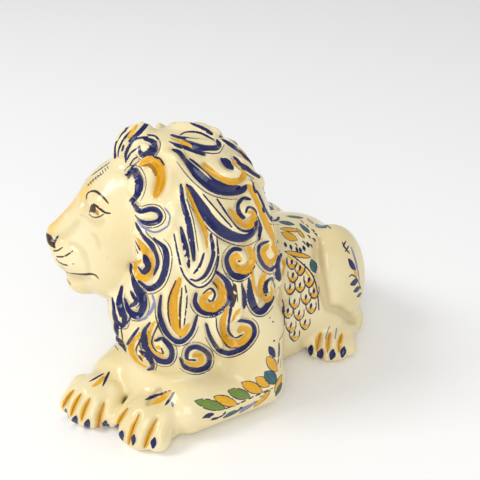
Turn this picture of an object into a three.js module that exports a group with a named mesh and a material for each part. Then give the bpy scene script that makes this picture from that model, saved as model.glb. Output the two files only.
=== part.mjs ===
// Majolica lion, lying down, with its head turned to its right.
// Millimetres, +Z up. The lion faces -Y, its left side is +X, and it lies on z = 0.
//
// The lion is slip-cast earthenware in one piece, so it is one closed solid here.
// Its form is a field: a function that gives the distance from any point to the skin.
// Rounded masses are blended in that field, a fine mesh is drawn over its zero level,
// the locks of the mane are raised and carved in that mesh, and the mesh is thinned
// where the skin is smooth.
import * as THREE from 'three';

const { abs, cos, floor, hypot, max, min, PI, sin, sqrt } = Math;

// Body
const BACK_HEIGHT = 147;
const BODY_HALF_WIDTH = 68;
const BODY_HALF_LENGTH = 114;
const BODY_MIDDLE = [0, 68, 58];

// Head: the middle of the skull, and how far the head is turned
const HEAD_AT = [-35, -107, 215];
const HEAD_TURN = -50;

// Mane: the rim round the face lies this far behind the middle of the skull. The locks are
// lobes raised on the mane with grooves carved in them, set out with a sample every so
// many millimetres, and their edges are rounded off so many times.
const RIM_BACK = 8;
const LOBE_HEIGHT = 7;
const GROOVE_DEPTH = 6;
const LOCK_STEP = 1.5;
const LOCK_TAPER = 0.45;
const LOBE_ROOM = 9;
const GROOVE_ROOM = 5;
const ROUNDING = 5;

// The lower edge of the rim runs under the jaw: its height at one place and its slope
const JAW_HEIGHT = -72;
const JAW_BACK = -17;
const JAW_SLOPE = 1.4;

// How softly the parts run into each other
const SOFT = { hair: 40, rim: 8, legs: 16, paws: 8, tail: 8, mane: 10, face: 5, ears: 8, floor: 6 };

// The far ear sits lower than the near one, by this much for each millimetre sideways
const EAR_DROP = 0.15;

// Mesh: the step of the fine one, and how many triangles it keeps when it is thinned
const FINE_STEP = 2.6;
const TRIANGLES = 9800;

// Sampling the field: the part of a distance that is safe to skip, and the spare samples
const SAFE_PART = 0.6;
const SPARE_SAMPLES = 2;

// Thinning: how far a merged point may lie away (in edge lengths), what a long edge adds
// to the cost, how well a face must keep its direction, and what counts as flat
const FARTHEST = 1.5;
const LENGTH_COST = 0.02;
const LEAST_AGREEMENT = 0.35;
const FLAT = 1e-4;

const radians = (degrees) => (degrees * PI) / 180;
const mix = (a, b, t) => a + (b - a) * t;
const clamp = (v, low, high) => min(max(v, low), high);

// A rounded mass: an ellipsoid, given by its middle and its three half sizes
function blob([cx, cy, cz], [rx, ry, rz], turn = 0) {
  const c = cos(radians(turn));
  const s = sin(radians(turn));
  return (x, y, z) => {
    const dx = c * (x - cx) + s * (y - cy);
    const dy = c * (y - cy) - s * (x - cx);
    const dz = z - cz;
    const near = hypot(dx / rx, dy / ry, dz / rz);
    const slope = hypot(dx / rx ** 2, dy / ry ** 2, dz / rz ** 2);
    return slope > 0 ? (near * (near - 1)) / slope : -min(rx, ry, rz);
  };
}

// A limb: a round cone from one point to another
function limb([ax, ay, az], ra, [bx, by, bz], rb) {
  const length = hypot(bx - ax, by - ay, bz - az);
  const ux = (bx - ax) / length;
  const uy = (by - ay) / length;
  const uz = (bz - az) / length;
  const slope = (ra - rb) / length;
  const across = sqrt(1 - slope * slope);
  return (x, y, z) => {
    const px = x - ax;
    const py = y - ay;
    const pz = z - az;
    const along = px * ux + py * uy + pz * uz;
    const out = sqrt(max(px * px + py * py + pz * pz - along * along, 0));
    const t = clamp(along + (out * slope) / across, 0, length);
    return hypot(out, along - t) - mix(ra, rb, t / length);
  };
}

const bothSides = (form) => (x, y, z) => form(abs(x), y, z);

// A point of the head: forward, to its left and up from the middle of the skull
const head = (forward, left, up) => [left, -forward, up];

const headCos = cos(radians(HEAD_TURN));
const headSin = sin(radians(HEAD_TURN));
function toHead(x, y, z) {
  const dx = x - HEAD_AT[0];
  const dy = y - HEAD_AT[1];
  return [headCos * dx + headSin * dy, headCos * dy - headSin * dx, z - HEAD_AT[2]];
}
function fromHead(x, y, z) {
  const worldX = HEAD_AT[0] + headCos * x - headSin * y;
  const worldY = HEAD_AT[1] + headSin * x + headCos * y;
  return [worldX, worldY, HEAD_AT[2] + z];
}

function union(a, b, soft) {
  const h = max(soft - abs(a - b), 0) / soft;
  return min(a, b) - h * h * soft * 0.25;
}
const cut = (a, b, soft) => -union(-a, b, soft);

function join(forms, x, y, z) {
  let d = 1e9;
  for (const [form, soft] of forms) d = union(d, form(x, y, z), soft);
  return d;
}

// The masses, each with the softness of its join to those before it
const TORSO = [
  [blob(BODY_MIDDLE, [BODY_HALF_WIDTH, BODY_HALF_LENGTH, BACK_HEIGHT - BODY_MIDDLE[2]]), 1],
  [blob([0, -20, 84], [62, 66, 70]), 24],
  [blob([0, -84, 30], [56, 66, 44]), 16],
];
const LEGS = [
  // haunches and hocks
  [bothSides(blob([51, 106, 66], [39, 53, 75])), 1],
  [bothSides(limb([70, 122, 20], 20, [76, 92, 17], 18)), 10],
  // upper arms and forelegs
  [bothSides(blob([60, -42, 72], [32, 36, 62])), 16],
  [limb([70, -42, 27], 27, [44, -122, 24], 24), 12],
  [limb([-70, -42, 27], 27, [-52, -132, 24], 24), 12],
];

// A paw with four toes: where its middle stands, how far it is turned, and its size
const TOES = 4;
const TOE_GAP = 14.5;
function paw([px, py], turn, size) {
  const c = cos(radians(turn));
  const s = sin(radians(turn));
  const forms = [[blob([0, 0, 14], [28, 31, 30]), 1]];
  for (let k = 0; k < TOES; k++) {
    const side = (k - (TOES - 1) / 2) * TOE_GAP;
    const reach = 21 - (side / TOE_GAP) ** 2 * 4;
    forms.push([limb([side * 0.8, 2, 27], 12, [side, -reach, 13], 12.5), 2.5]);
  }
  return (x, y, z) => {
    const dx = (x - px) / size;
    const dy = (y - py) / size;
    return size * join(forms, c * dx + s * dy, c * dy - s * dx, z / size);
  };
}
const PAWS = [
  [paw([21, -152], 2, 1), 1],
  [paw([-44, -164], 16, 1), 6],
  [paw([77, 80], 46, 0.82), 6],
  [paw([-77, 80], -46, 0.82), 6],
];

// The tail leaves the rump low on the right, climbs the haunch and ends in a tuft
const TAIL = [
  [limb([-14, 174, 22], 12, [-58, 160, 22], 11), 1],
  [limb([-58, 160, 22], 11, [-86, 128, 44], 9), 5],
  [blob([-89, 108, 60], [9, 22, 15], 8), 8],
];

const MANE = [
  [blob([3, -58, 150], [79, 87, 90]), 1],
  [blob([0, -98, 112], [62, 57, 70]), 24],
];
const MANE_TOP = [
  [blob(head(-46, 0, 6), [68, 73, 70]), 1],
];
const FACE = [
  // skull, bridge of the nose, muzzle, jaw and chin
  [blob(head(-5, 0, -5), [52, 55, 57]), 1],
  [limb(head(30, 0, 1), 22, head(71, 0, -29), 13.5), 14],
  [blob(head(46, 0, -46), [27, 35, 28]), 12],
  [blob(head(18, 0, -50), [44, 40, 46]), 14],
  [blob(head(50, 0, -76), [22, 19, 16]), 8],
  // eyes under their brows
  [bothSides(blob(head(37, 25, 9), [7, 9, 7])), 3],
  [bothSides(limb(head(38, 15, 17), 6, head(22, 32, 17), 8)), 10],
  // nostrils
  [bothSides(blob(head(72, 9, -34), [8, 9, 7])), 5],
];
const EARS_AND_FORELOCK = [
  [blob(head(-10, 0, 54), [20, 24, 27]), 1],
  [blob(head(-35, 46, 57), [16, 22, 26]), 8],
  [blob(head(-35, -46, 43), [16, 22, 25]), 8],
];

// The distance from a point to the smooth skin, without locks
function skin(x, y, z) {
  const [hx, hy, hz] = toHead(x, y, z);
  const underJaw = (JAW_HEIGHT + JAW_SLOPE * (hy - JAW_BACK) - hz) / hypot(1, JAW_SLOPE);
  const hair = union(join(MANE, x, y, z), join(MANE_TOP, hx, hy, hz), SOFT.hair);
  const rimmed = cut(hair, max(hy - RIM_BACK, underJaw), SOFT.rim);
  let d = union(join(TORSO, x, y, z), join(LEGS, x, y, z), SOFT.legs);
  d = union(d, join(PAWS, x, y, z), SOFT.paws);
  d = union(d, join(TAIL, x, y, z), SOFT.tail);
  d = union(d, rimmed, SOFT.mane);
  d = union(d, join(FACE, hx, hy, hz), SOFT.face);
  d = union(d, join(EARS_AND_FORELOCK, hx, hy, hz), SOFT.ears);
  return cut(d, z, SOFT.floor);
}

// The corners of a grid cell, joined along its twelve edges
const CELL_EDGES = [];
for (const corner of [[0, 0, 0], [1, 1, 0], [1, 0, 1], [0, 1, 1]]) {
  for (let axis = 0; axis < 3; axis++) {
    const other = [...corner];
    other[axis] = 1 - other[axis];
    CELL_EDGES.push([corner, other]);
  }
}

// Where the skin would pass between opposite corners of a cell's side, the corner nearest
// to it changes sides, so that the mesh stays one closed sheet
function mendSaddles(value, strides) {
  let mended = true;
  while (mended) {
    mended = false;
    for (let here = 0; here < value.length - strides[1] - strides[2]; here++) {
      for (let axis = 0; axis < 3; axis++) {
        const u = here + strides[axis];
        const v = here + strides[(axis + 1) % 3];
        const uv = u + v - here;
        const inside = value[here] < 0;
        if (inside === value[u] < 0 || inside === value[v] < 0 || inside !== value[uv] < 0) continue;
        const nearest = [here, u, v, uv].reduce((a, b) => (abs(value[b]) < abs(value[a]) ? b : a));
        value[nearest] *= -1;
        mended = true;
      }
    }
  }
}

// A mesh over the field's zero level, with one vertex in each cell that the skin crosses
function drawSkin(field, low, high, step) {
  const n = low.map((v, k) => floor((high[k] - v) / step) + 2);
  const at = (i, j, k) => (k * n[1] + j) * n[0] + i;
  const value = new Float32Array(n[0] * n[1] * n[2]);
  const cell = new Int32Array(value.length).fill(-1);
  for (let k = 0; k < n[2]; k++) {
    for (let j = 0; j < n[1]; j++) {
      let i = 0;
      while (i < n[0]) {
        const d = field(low[0] + i * step, low[1] + j * step, low[2] + k * step);
        // The skin is at least this many samples away, so they are on the same side
        const last = min(n[0] - 1, i + max(0, floor((abs(d) * SAFE_PART) / step) - SPARE_SAMPLES));
        value.fill(d, at(i, j, k), at(last, j, k) + 1);
        i = last + 1;
      }
    }
  }
  const strides = [1, n[0], n[0] * n[1]];
  mendSaddles(value, strides);

  const points = [];
  for (let k = 0; k < n[2] - 1; k++) {
    for (let j = 0; j < n[1] - 1; j++) {
      for (let i = 0; i < n[0] - 1; i++) {
        const sum = [0, 0, 0];
        let crossings = 0;
        for (const [a, b] of CELL_EDGES) {
          const va = value[at(i + a[0], j + a[1], k + a[2])];
          const vb = value[at(i + b[0], j + b[1], k + b[2])];
          if (va < 0 === vb < 0) continue;
          const t = va / (va - vb);
          for (let axis = 0; axis < 3; axis++) sum[axis] += mix(a[axis], b[axis], t);
          crossings += 1;
        }
        if (crossings === 0) continue;
        cell[at(i, j, k)] = points.length;
        const [x, y, z] = sum.map((v) => v / crossings);
        points.push([low[0] + step * (i + x), low[1] + step * (j + y), low[2] + step * (k + z)]);
      }
    }
  }

  const faces = [];
  for (let k = 1; k < n[2] - 1; k++) {
    for (let j = 1; j < n[1] - 1; j++) {
      for (let i = 1; i < n[0] - 1; i++) {
        const here = at(i, j, k);
        const inside = value[here] < 0;
        for (let axis = 0; axis < 3; axis++) {
          if (inside === value[here + strides[axis]] < 0) continue;
          const u = strides[(axis + 1) % 3];
          const v = strides[(axis + 2) % 3];
          const ring = [here, here - u, here - u - v, here - v].map((c) => cell[c]);
          const [a, b, c, d] = inside ? ring : ring.reverse();
          faces.push([a, b, c], [a, c, d]);
        }
      }
    }
  }
  return { points, faces };
}

// The direction in which the skin faces at a point, from samples a little to each side
const TO_SIDE = 0.5;
function facing([x, y, z]) {
  const gx = skin(x + TO_SIDE, y, z) - skin(x - TO_SIDE, y, z);
  const gy = skin(x, y + TO_SIDE, z) - skin(x, y - TO_SIDE, z);
  const gz = skin(x, y, z + TO_SIDE) - skin(x, y, z - TO_SIDE);
  return new THREE.Vector3(gx, gy, gz).normalize();
}

// The locks are set out on a drawing of the mane as it is seen from the lion's left
// front: 480 by 480 units, x to the right and y down, 0.95 units to the millimetre at
// the middle of the lion.
const DRAWING = { azimuth: 40, elevation: 27, distance: 850, size: 480, unit: 0.95 };
const DRAWING_MIDDLE = new THREE.Vector3(5.7, 4, 150);
const azimuth = radians(DRAWING.azimuth);
const elevation = radians(DRAWING.elevation);
const TOWARDS_EYE = new THREE.Vector3(
  sin(azimuth) * cos(elevation),
  -cos(azimuth) * cos(elevation),
  sin(elevation),
);
const RIGHTWARDS = new THREE.Vector3(cos(azimuth), sin(azimuth), 0);
const UPWARDS = new THREE.Vector3().crossVectors(TOWARDS_EYE, RIGHTWARDS);
const EYE = DRAWING_MIDDLE.clone().addScaledVector(TOWARDS_EYE, DRAWING.distance);

// A line of sight is followed from before the lion to behind it until it is this close
const SIGHT_HALF = 300;
const CLOSE = 0.1;
const LEAST_STEP = 0.3;
const OUTLINE_ROOM = 7;
const OUTLINE_RISE = 0.5;

// The point of the skin that a point of the drawing shows
function ontoSkin([dx, dy]) {
  const aim = DRAWING_MIDDLE.clone()
    .addScaledVector(RIGHTWARDS, (dx - DRAWING.size / 2) / DRAWING.unit)
    .addScaledVector(UPWARDS, (DRAWING.size / 2 - dy) / DRAWING.unit);
  const ray = aim.sub(EYE).normalize();
  let nearest = { d: Infinity, t: 0 };
  let t = DRAWING.distance - SIGHT_HALF;
  while (t < DRAWING.distance + SIGHT_HALF) {
    const p = EYE.clone().addScaledVector(ray, t);
    const d = skin(p.x, p.y, p.z);
    // A line of sight that just misses the mane's outline belongs to the outline
    if (nearest.d < OUTLINE_ROOM && d > nearest.d + OUTLINE_RISE) break;
    if (d < nearest.d) nearest = { d, t };
    if (d < CLOSE) break;
    t += max(d / 2, LEAST_STEP);
  }
  return EYE.clone().addScaledVector(ray, nearest.t);
}

// The same point on the other side of the head, which hangs a little lower there
const SNAP_ROUNDS = 6;
function otherSide(p) {
  const [hx, hy, hz] = toHead(p.x, p.y, p.z);
  const q = new THREE.Vector3(...fromHead(-hx, hy, hz - EAR_DROP * max(hx, 0)));
  for (let k = 0; k < SNAP_ROUNDS; k++) {
    q.addScaledVector(facing([q.x, q.y, q.z]), -skin(q.x, q.y, q.z));
  }
  return q;
}

// A stroke on the skin: samples along a smooth line, thinner towards its ends
function stroke(wide, line) {
  const curve = line.length > 1 && new THREE.SplineCurve(line.map((p) => new THREE.Vector2(...p)));
  const count = curve ? Math.ceil(curve.getLength() / LOCK_STEP) : 0;
  const samples = curve ? curve.getPoints(count) : [new THREE.Vector2(...line[0])];
  return samples.map((p, k) => {
    const end = curve ? abs((2 * k) / count - 1) : 0;
    return { at: ontoSkin([p.x, p.y]), wide: (wide / DRAWING.unit) * (1 - LOCK_TAPER * end ** 3) };
  });
}

// Raised lobes: half width, then the points of the middle line
const LOBES = [
  [8, [121, 154], [126, 140], [138, 130], [147, 127]],
  [13, [146, 148]],
  [8, [132, 177], [137, 198]],
  [12, [141, 213], [157, 217]],
  [8, [137, 232], [158, 233], [172, 218], [174, 208]],
  [9, [171, 140], [190, 147], [216, 148]],
  [8, [176, 128], [200, 132], [214, 139]],
  [11, [176, 156], [192, 173], [212, 183], [235, 182], [240, 168]],
  [8, [224, 143], [240, 151], [256, 167]],
  [6, [238, 161], [252, 173], [262, 186]],
  [9, [250, 187], [260, 212], [272, 240], [271, 257]],
  [13, [248, 214]],
  [10, [190, 190], [205, 211], [224, 228], [248, 234], [256, 225]],
  [10, [184, 190], [192, 225], [205, 255], [199, 272]],
  [8, [179, 236], [187, 270], [202, 283], [214, 262], [212, 238]],
  [15, [240, 262]],
  [17, [211, 297]],
  [8, [238, 283], [236, 318]],
  [14, [266, 290]],
  [7, [250, 274], [255, 306]],
  [6, [278, 258], [278, 293]],
  [18, [240, 334]],
  [9, [226, 304], [223, 326]],
  [13, [195, 359]],
  [13, [180, 282], [177, 306], [182, 330]],
  [12, [160, 349]],
  [8, [155, 321], [150, 336]],
  [11, [143, 357]],
  [7, [138, 334], [134, 350]],
  [12, [138, 303]],
  [8, [133, 270], [137, 290]],
  [9, [121, 311]],
  [8, [114, 296], [119, 342]],
  [16, [145, 264]],
  [8, [139, 232], [151, 248]],
  [8, [162, 246], [168, 266], [158, 286]],
  [7, [214, 318], [221, 346]],
];

// Carved grooves: half width, then the points of the groove
const GROOVES = [
  [5, [142, 166], [150, 161], [158, 166], [161, 176], [160, 186], [156, 196]],
  [4.5, [204, 165], [214, 175], [226, 182], [238, 182], [243, 175], [236, 167]],
  [5, [249, 187], [257, 205], [264, 222], [273, 242], [272, 256]],
  [4.5, [231, 211], [240, 223], [250, 222], [250, 212]],
  [4.5, [187, 188], [197, 212], [207, 240]],
  [5, [249, 248], [252, 262], [240, 270], [233, 261]],
  [5, [216, 280], [223, 294], [214, 307], [203, 299]],
  [5, [264, 276], [262, 294], [270, 298]],
  [5.5, [227, 308], [222, 324], [231, 343], [246, 337], [240, 329]],
  [4.5, [195, 355], [201, 361], [190, 367]],
  [5.5, [179, 280], [174, 302], [178, 330], [187, 327]],
  [4.5, [153, 324], [147, 341], [158, 353]],
  [4.5, [138, 336], [133, 350], [142, 362]],
  [5, [139, 241], [149, 258], [148, 275], [138, 274]],
  [4.5, [146, 141], [154, 148], [144, 155]],
  [5, [176, 154], [196, 175], [220, 190], [244, 189]],
  [5, [189, 190], [206, 214], [232, 235], [254, 228]],
  [4.5, [133, 270], [142, 298], [136, 314]],
  [4.5, [114, 300], [115, 325], [124, 348]],
  [4.5, [133, 205], [150, 210], [158, 218], [146, 223]],
];

// The crease in front of the haunch and the fold between the knee and the hind paw
const CREASES = [
  [7, [316, 238], [318, 262], [323, 287], [328, 309]],
  [6, [328, 309], [338, 311], [348, 317], [357, 322]],
];

const gap = (one, other) =>
  min(...one.map((p) => min(...other.map((q) => p.at.distanceTo(q.at)))));

// Both sides of the mane: a lock of the far side is left out where it would run into one
// of the near side, on the crown and the chest
function bothManes(table, room) {
  const near = table.map(([wide, ...line]) => stroke(wide, line));
  const far = near.map((line) => line.map(({ at, wide }) => ({ at: otherSide(at), wide })));
  const kept = far.filter((line) => near.every((other) => gap(line, other) > room));
  return [...near, ...kept].flat();
}
const creases = CREASES.flatMap(([wide, ...line]) => stroke(wide, line));
const farCreases = creases.map(({ at, wide }) => ({ at: new THREE.Vector3(-at.x, at.y, at.z), wide }));
const lobes = bothManes(LOBES, LOBE_ROOM);
const grooves = [...bothManes(GROOVES, GROOVE_ROOM), ...creases, ...farCreases];

// How far the skin stands over (or under) its smooth form, between 0 and 1 across a stroke
function swell(samples, p) {
  let best = 0;
  for (const { at, wide } of samples) {
    const dx = at.x - p[0];
    const dy = at.y - p[1];
    const dz = at.z - p[2];
    const q = (dx * dx + dy * dy + dz * dz) / (wide * wide);
    if (q < 1) best = max(best, 1 - q);
  }
  return best;
}

// Averages the vectors of a mesh's vertices with those of their neighbours
function averaged(vectors, faces, rounds) {
  let now = vectors;
  for (let round = 0; round < rounds; round++) {
    const sum = now.map((vector) => vector.map((c) => 2 * c));
    const count = now.map(() => 2);
    for (const face of faces) {
      face.forEach((v, k) => {
        now[face[(k + 1) % 3]].forEach((c, axis) => (sum[v][axis] += c));
        count[v] += 1;
      });
    }
    now = sum.map((vector, v) => vector.map((c) => c / count[v]));
  }
  return now;
}

// Raises the lobes and carves the grooves, with their edges rounded off
function carve({ points, faces }) {
  const steps = points.map((p) => {
    const raised = LOBE_HEIGHT * swell(lobes, p) - GROOVE_DEPTH * swell(grooves, p);
    return raised === 0 ? [0, 0, 0] : facing(p).multiplyScalar(raised).toArray();
  });
  const rounded = averaged(steps, faces, ROUNDING);
  return { points: points.map((p, v) => p.map((c, axis) => c + rounded[v][axis])), faces };
}

// Thins a closed mesh: over and over, it merges the two ends of the edge whose merging
// moves the skin least. Each vertex carries the sum of squared distances to its planes as
// ten numbers of a symmetric matrix.
function planeSum([nx, ny, nz], d, weight) {
  const v = [nx, ny, nz, d];
  const sum = [];
  for (let r = 0; r < 4; r++) {
    for (let c = r; c < 4; c++) sum.push(weight * v[r] * v[c]);
  }
  return sum;
}

const movedBy = (q, [x, y, z]) =>
  x * (q[0] * x + 2 * (q[1] * y + q[2] * z + q[3])) +
  y * (q[4] * y + 2 * (q[5] * z + q[6])) +
  z * (q[7] * z + 2 * q[8]) +
  q[9];

// The point that moves the skin least, or nothing where the skin is flat
function bestPoint(q) {
  const m = new THREE.Matrix3().set(q[0], q[1], q[2], q[1], q[4], q[5], q[2], q[5], q[7]);
  const size = (q[0] + q[4] + q[7]) / 3;
  if (abs(m.determinant()) < FLAT * size ** 3) return null;
  const p = new THREE.Vector3(-q[3], -q[6], -q[8]).applyMatrix3(m.invert());
  return p.toArray();
}

const cross = (a, b, c) => {
  const [ux, uy, uz] = [b[0] - a[0], b[1] - a[1], b[2] - a[2]];
  const [vx, vy, vz] = [c[0] - a[0], c[1] - a[1], c[2] - a[2]];
  return [uy * vz - uz * vy, uz * vx - ux * vz, ux * vy - uy * vx];
};
const dot = (a, b) => a[0] * b[0] + a[1] * b[1] + a[2] * b[2];

// A queue that hands out its cheapest entry first
class Queue {
  items = [];

  add(item) {
    let i = this.items.push(item) - 1;
    while (i > 0) {
      const parent = (i - 1) >> 1;
      if (this.items[parent].cost <= item.cost) break;
      this.items[i] = this.items[parent];
      i = parent;
    }
    this.items[i] = item;
  }

  take() {
    const first = this.items[0];
    const item = this.items.pop();
    if (this.items.length === 0) return first;
    let i = 0;
    for (;;) {
      let child = 2 * i + 1;
      if (child >= this.items.length) break;
      const next = this.items[child + 1];
      if (next && next.cost < this.items[child].cost) child += 1;
      if (this.items[child].cost >= item.cost) break;
      this.items[i] = this.items[child];
      i = child;
    }
    this.items[i] = item;
    return first;
  }
}

function thin({ points, faces }, target) {
  const shape = points.map(() => new Array(10).fill(0));
  const around = points.map(() => new Set());
  const age = points.map(() => 0);
  for (const face of faces) {
    const n = cross(...face.map((v) => points[v]));
    const area = hypot(...n);
    const unit = n.map((v) => v / (area || 1));
    const plane = planeSum(unit, -dot(unit, points[face[0]]), area);
    for (const v of face) {
      around[v].add(face);
      plane.forEach((value, k) => (shape[v][k] += value));
    }
  }

  const neighbours = (v) => new Set([...around[v]].flat().filter((other) => other !== v));
  const queue = new Queue();
  const consider = (a, b) => {
    const q = shape[a].map((value, k) => value + shape[b][k]);
    const middle = points[a].map((value, k) => (value + points[b][k]) / 2);
    const long = hypot(...points[a].map((value, k) => value - points[b][k]));
    let to = bestPoint(q);
    if (!to || hypot(...to.map((value, k) => value - middle[k])) > FARTHEST * long) {
      const choices = [points[a], points[b], middle];
      to = choices.reduce((best, p) => (movedBy(q, p) < movedBy(q, best) ? p : best));
    }
    const cost = max(movedBy(q, to), 0) + LENGTH_COST * long ** 3;
    queue.add({ cost, a, b, to, ages: age[a] + age[b] });
  };
  points.forEach((_, v) => {
    for (const other of neighbours(v)) if (other > v) consider(v, other);
  });

  // Merging mustn't fold the skin over: each face that stays keeps facing its way
  const folds = (v, other, to) =>
    [...around[v]].some((face) => {
      if (face.includes(other)) return false;
      const before = cross(...face.map((w) => points[w]));
      const after = cross(...face.map((w) => (w === v ? to : points[w])));
      return dot(before, after) < LEAST_AGREEMENT * hypot(...before) * hypot(...after);
    });

  let count = faces.length;
  while (count > target && queue.items.length > 0) {
    const { a, b, to, ages } = queue.take();
    if (around[a].size === 0 || around[b].size === 0 || ages !== age[a] + age[b]) continue;
    const nextToB = neighbours(b);
    if (!nextToB.has(a)) continue;
    const shared = [...neighbours(a)].filter((v) => nextToB.has(v));
    if (shared.length !== 2 || folds(a, b, to) || folds(b, a, to)) continue;
    for (const face of [...around[b]]) {
      if (face.includes(a)) {
        for (const v of face) around[v].delete(face);
        count -= 1;
      } else {
        face[face.indexOf(b)] = a;
        around[a].add(face);
      }
    }
    around[b].clear();
    points[a] = to;
    shape[b].forEach((value, k) => (shape[a][k] += value));
    age[a] += 1;
    for (const v of neighbours(a)) {
      age[v] += 1;
    }
    for (const v of neighbours(a)) {
      for (const w of neighbours(v)) consider(v, w);
    }
  }

  // Only the vertices that are left, numbered anew
  const kept = points.map((_, v) => v).filter((v) => around[v].size > 0);
  const number = new Map(kept.map((v, k) => [v, k]));
  const left = new Set(kept.flatMap((v) => [...around[v]]));
  return {
    points: kept.map((v) => points[v]),
    faces: [...left].map((face) => face.map((v) => number.get(v))),
  };
}

// The skin is drawn in this box, and then it is stood on z = 0 with its middle at x = y = 0
const LOW_CORNER = [-120, -215, -6];
const HIGH_CORNER = [120, 200, 315];

const fine = carve(drawSkin(skin, LOW_CORNER, HIGH_CORNER, FINE_STEP));
const thinned = thin(fine, TRIANGLES);
const geometry = new THREE.BufferGeometry();
geometry.setAttribute('position', new THREE.Float32BufferAttribute(thinned.points.flat(), 3));
geometry.setIndex(thinned.faces.flat());
geometry.computeBoundingBox();
const middle = geometry.boundingBox.getCenter(new THREE.Vector3());
geometry.translate(-middle.x, -middle.y, -geometry.boundingBox.min.z);
const glaze = new THREE.MeshStandardMaterial({ color: 0xe9dcb4, roughness: 0.2, metalness: 0 });
const lion = new THREE.Mesh(geometry, glaze);
lion.name = 'lion';

const group = new THREE.Group();
group.add(lion);

export default group;
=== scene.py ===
# %% [markdown]
# # A majolica lion
# The real object is a lion of red or buff earthenware, slip-cast in one piece, dipped in a
# cream tin glaze and painted by hand in cobalt, yellow, green and brown before the last
# firing. So it is one closed skin here too. This lesson draws that skin from rounded
# masses, raises and carves the locks of the mane with Geometry Nodes, paints brush strokes
# on it and gives it the glaze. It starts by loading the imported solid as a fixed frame.

import math

import bpy
import numpy as np
from mathutils import Matrix, Vector
from mathutils.bvhtree import BVHTree


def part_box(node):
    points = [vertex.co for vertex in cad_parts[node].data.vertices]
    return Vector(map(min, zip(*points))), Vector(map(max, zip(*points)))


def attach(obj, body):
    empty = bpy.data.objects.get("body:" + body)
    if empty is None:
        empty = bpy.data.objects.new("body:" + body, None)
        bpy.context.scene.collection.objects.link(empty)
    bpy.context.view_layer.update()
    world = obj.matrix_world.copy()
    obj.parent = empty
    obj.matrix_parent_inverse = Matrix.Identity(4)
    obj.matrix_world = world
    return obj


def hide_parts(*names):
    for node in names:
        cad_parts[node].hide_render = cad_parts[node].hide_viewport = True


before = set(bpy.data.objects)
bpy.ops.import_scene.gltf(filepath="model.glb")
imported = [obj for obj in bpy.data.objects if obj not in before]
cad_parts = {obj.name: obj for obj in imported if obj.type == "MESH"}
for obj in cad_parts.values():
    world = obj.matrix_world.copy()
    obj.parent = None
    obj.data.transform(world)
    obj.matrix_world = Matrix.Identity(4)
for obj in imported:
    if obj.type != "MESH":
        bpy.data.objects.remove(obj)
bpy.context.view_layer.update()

# %% [markdown]
# ## Camera
# The lion is seen from its left front and a little above. Its shape is worked out in
# millimetres in the maker's own axes, where the body's middle line is x = 0; the frame
# wants metres with the middle of its rectangle at the origin, so one small shift joins
# them. The lens follows from how many picture units one millimetre takes at the middle
# of the lion.

# %% The camera
PICTURE_SIZE = 480
UNITS_PER_MM = 0.95
DISTANCE = 850.0
AZIMUTH = math.radians(40)
ELEVATION = math.radians(27)
AIM = np.array([5.7, 4.0, 150.0])
FRAME_SHIFT = np.array([0.0, 5.876, 0.0])
SENSOR = 36.0
MM_PER_M = 1000

towards_eye = np.array([math.sin(AZIMUTH) * math.cos(ELEVATION),
                        -math.cos(AZIMUTH) * math.cos(ELEVATION),
                        math.sin(ELEVATION)])
rightwards = np.array([math.cos(AZIMUTH), math.sin(AZIMUTH), 0.0])
upwards = np.cross(towards_eye, rightwards)
eye = AIM + DISTANCE * towards_eye

camera_data = bpy.data.cameras.new("camera")
camera_data.sensor_width = SENSOR
camera_data.lens = UNITS_PER_MM * DISTANCE * SENSOR / PICTURE_SIZE
camera = bpy.data.objects.new("camera", camera_data)
bpy.context.collection.objects.link(camera)
camera.matrix_world = Matrix.Translation(Vector((eye + FRAME_SHIFT) / MM_PER_M)) @ Matrix(
    np.array([rightwards, upwards, towards_eye]).T.tolist()).to_4x4()
bpy.context.scene.camera = camera
print("lens", round(camera_data.lens, 1), "mm")

# %% [markdown]
# ## Masses
# A clay body is a set of full, rounded masses that run into each other. Each mass is a
# field: a function that gives the distance from any point to its skin. An ellipsoid makes
# a skull, a haunch or a mane, and a round cone makes a leg, a toe or the bridge of the
# nose. Two fields are joined by their smaller value, blended over a few millimetres, as a
# thumb would smooth the join. Subdivision surfaces could make the same forms, but a field
# needs no cage and blends by itself.

# %% Fields
TINY = 1e-6
FAR_AWAY = 1e9


def blob(middle, half_sizes, turn=0.0):
    middle = np.array(middle, float)
    half = np.array(half_sizes, float)
    c, s = math.cos(math.radians(turn)), math.sin(math.radians(turn))

    def form(p):
        d = p - middle
        if turn:
            d = np.stack([c * d[:, 0] + s * d[:, 1], c * d[:, 1] - s * d[:, 0], d[:, 2]], 1)
        near = np.sqrt(((d / half) ** 2).sum(1))
        slope = np.sqrt(((d / half ** 2) ** 2).sum(1))
        return np.where(slope > TINY, near * (near - 1) / np.maximum(slope, TINY), -half.min())
    return form


def limb(start, start_radius, end, end_radius):
    start, end = np.array(start, float), np.array(end, float)
    length = np.linalg.norm(end - start)
    along_axis = (end - start) / length
    slope = (start_radius - end_radius) / length
    across = math.sqrt(1 - slope ** 2)

    def form(p):
        d = p - start
        along = d @ along_axis
        out = np.sqrt(np.maximum((d ** 2).sum(1) - along ** 2, 0))
        t = np.clip(along + out * slope / across, 0, length)
        return np.hypot(out, along - t) - (start_radius + (end_radius - start_radius) * t / length)
    return form


def both_sides(form):
    return lambda p: form(np.stack([np.abs(p[:, 0]), p[:, 1], p[:, 2]], 1))


def union(a, b, soft):
    h = np.maximum(soft - np.abs(a - b), 0) / soft
    return np.minimum(a, b) - h * h * soft * 0.25


def cut(a, b, soft):
    return -union(-a, b, soft)


def join(forms, p):
    d = np.full(len(p), FAR_AWAY)
    for form, soft in forms:
        d = union(d, form(p), soft)
    return d


print("fields ready: blob, limb, union, cut")

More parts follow.
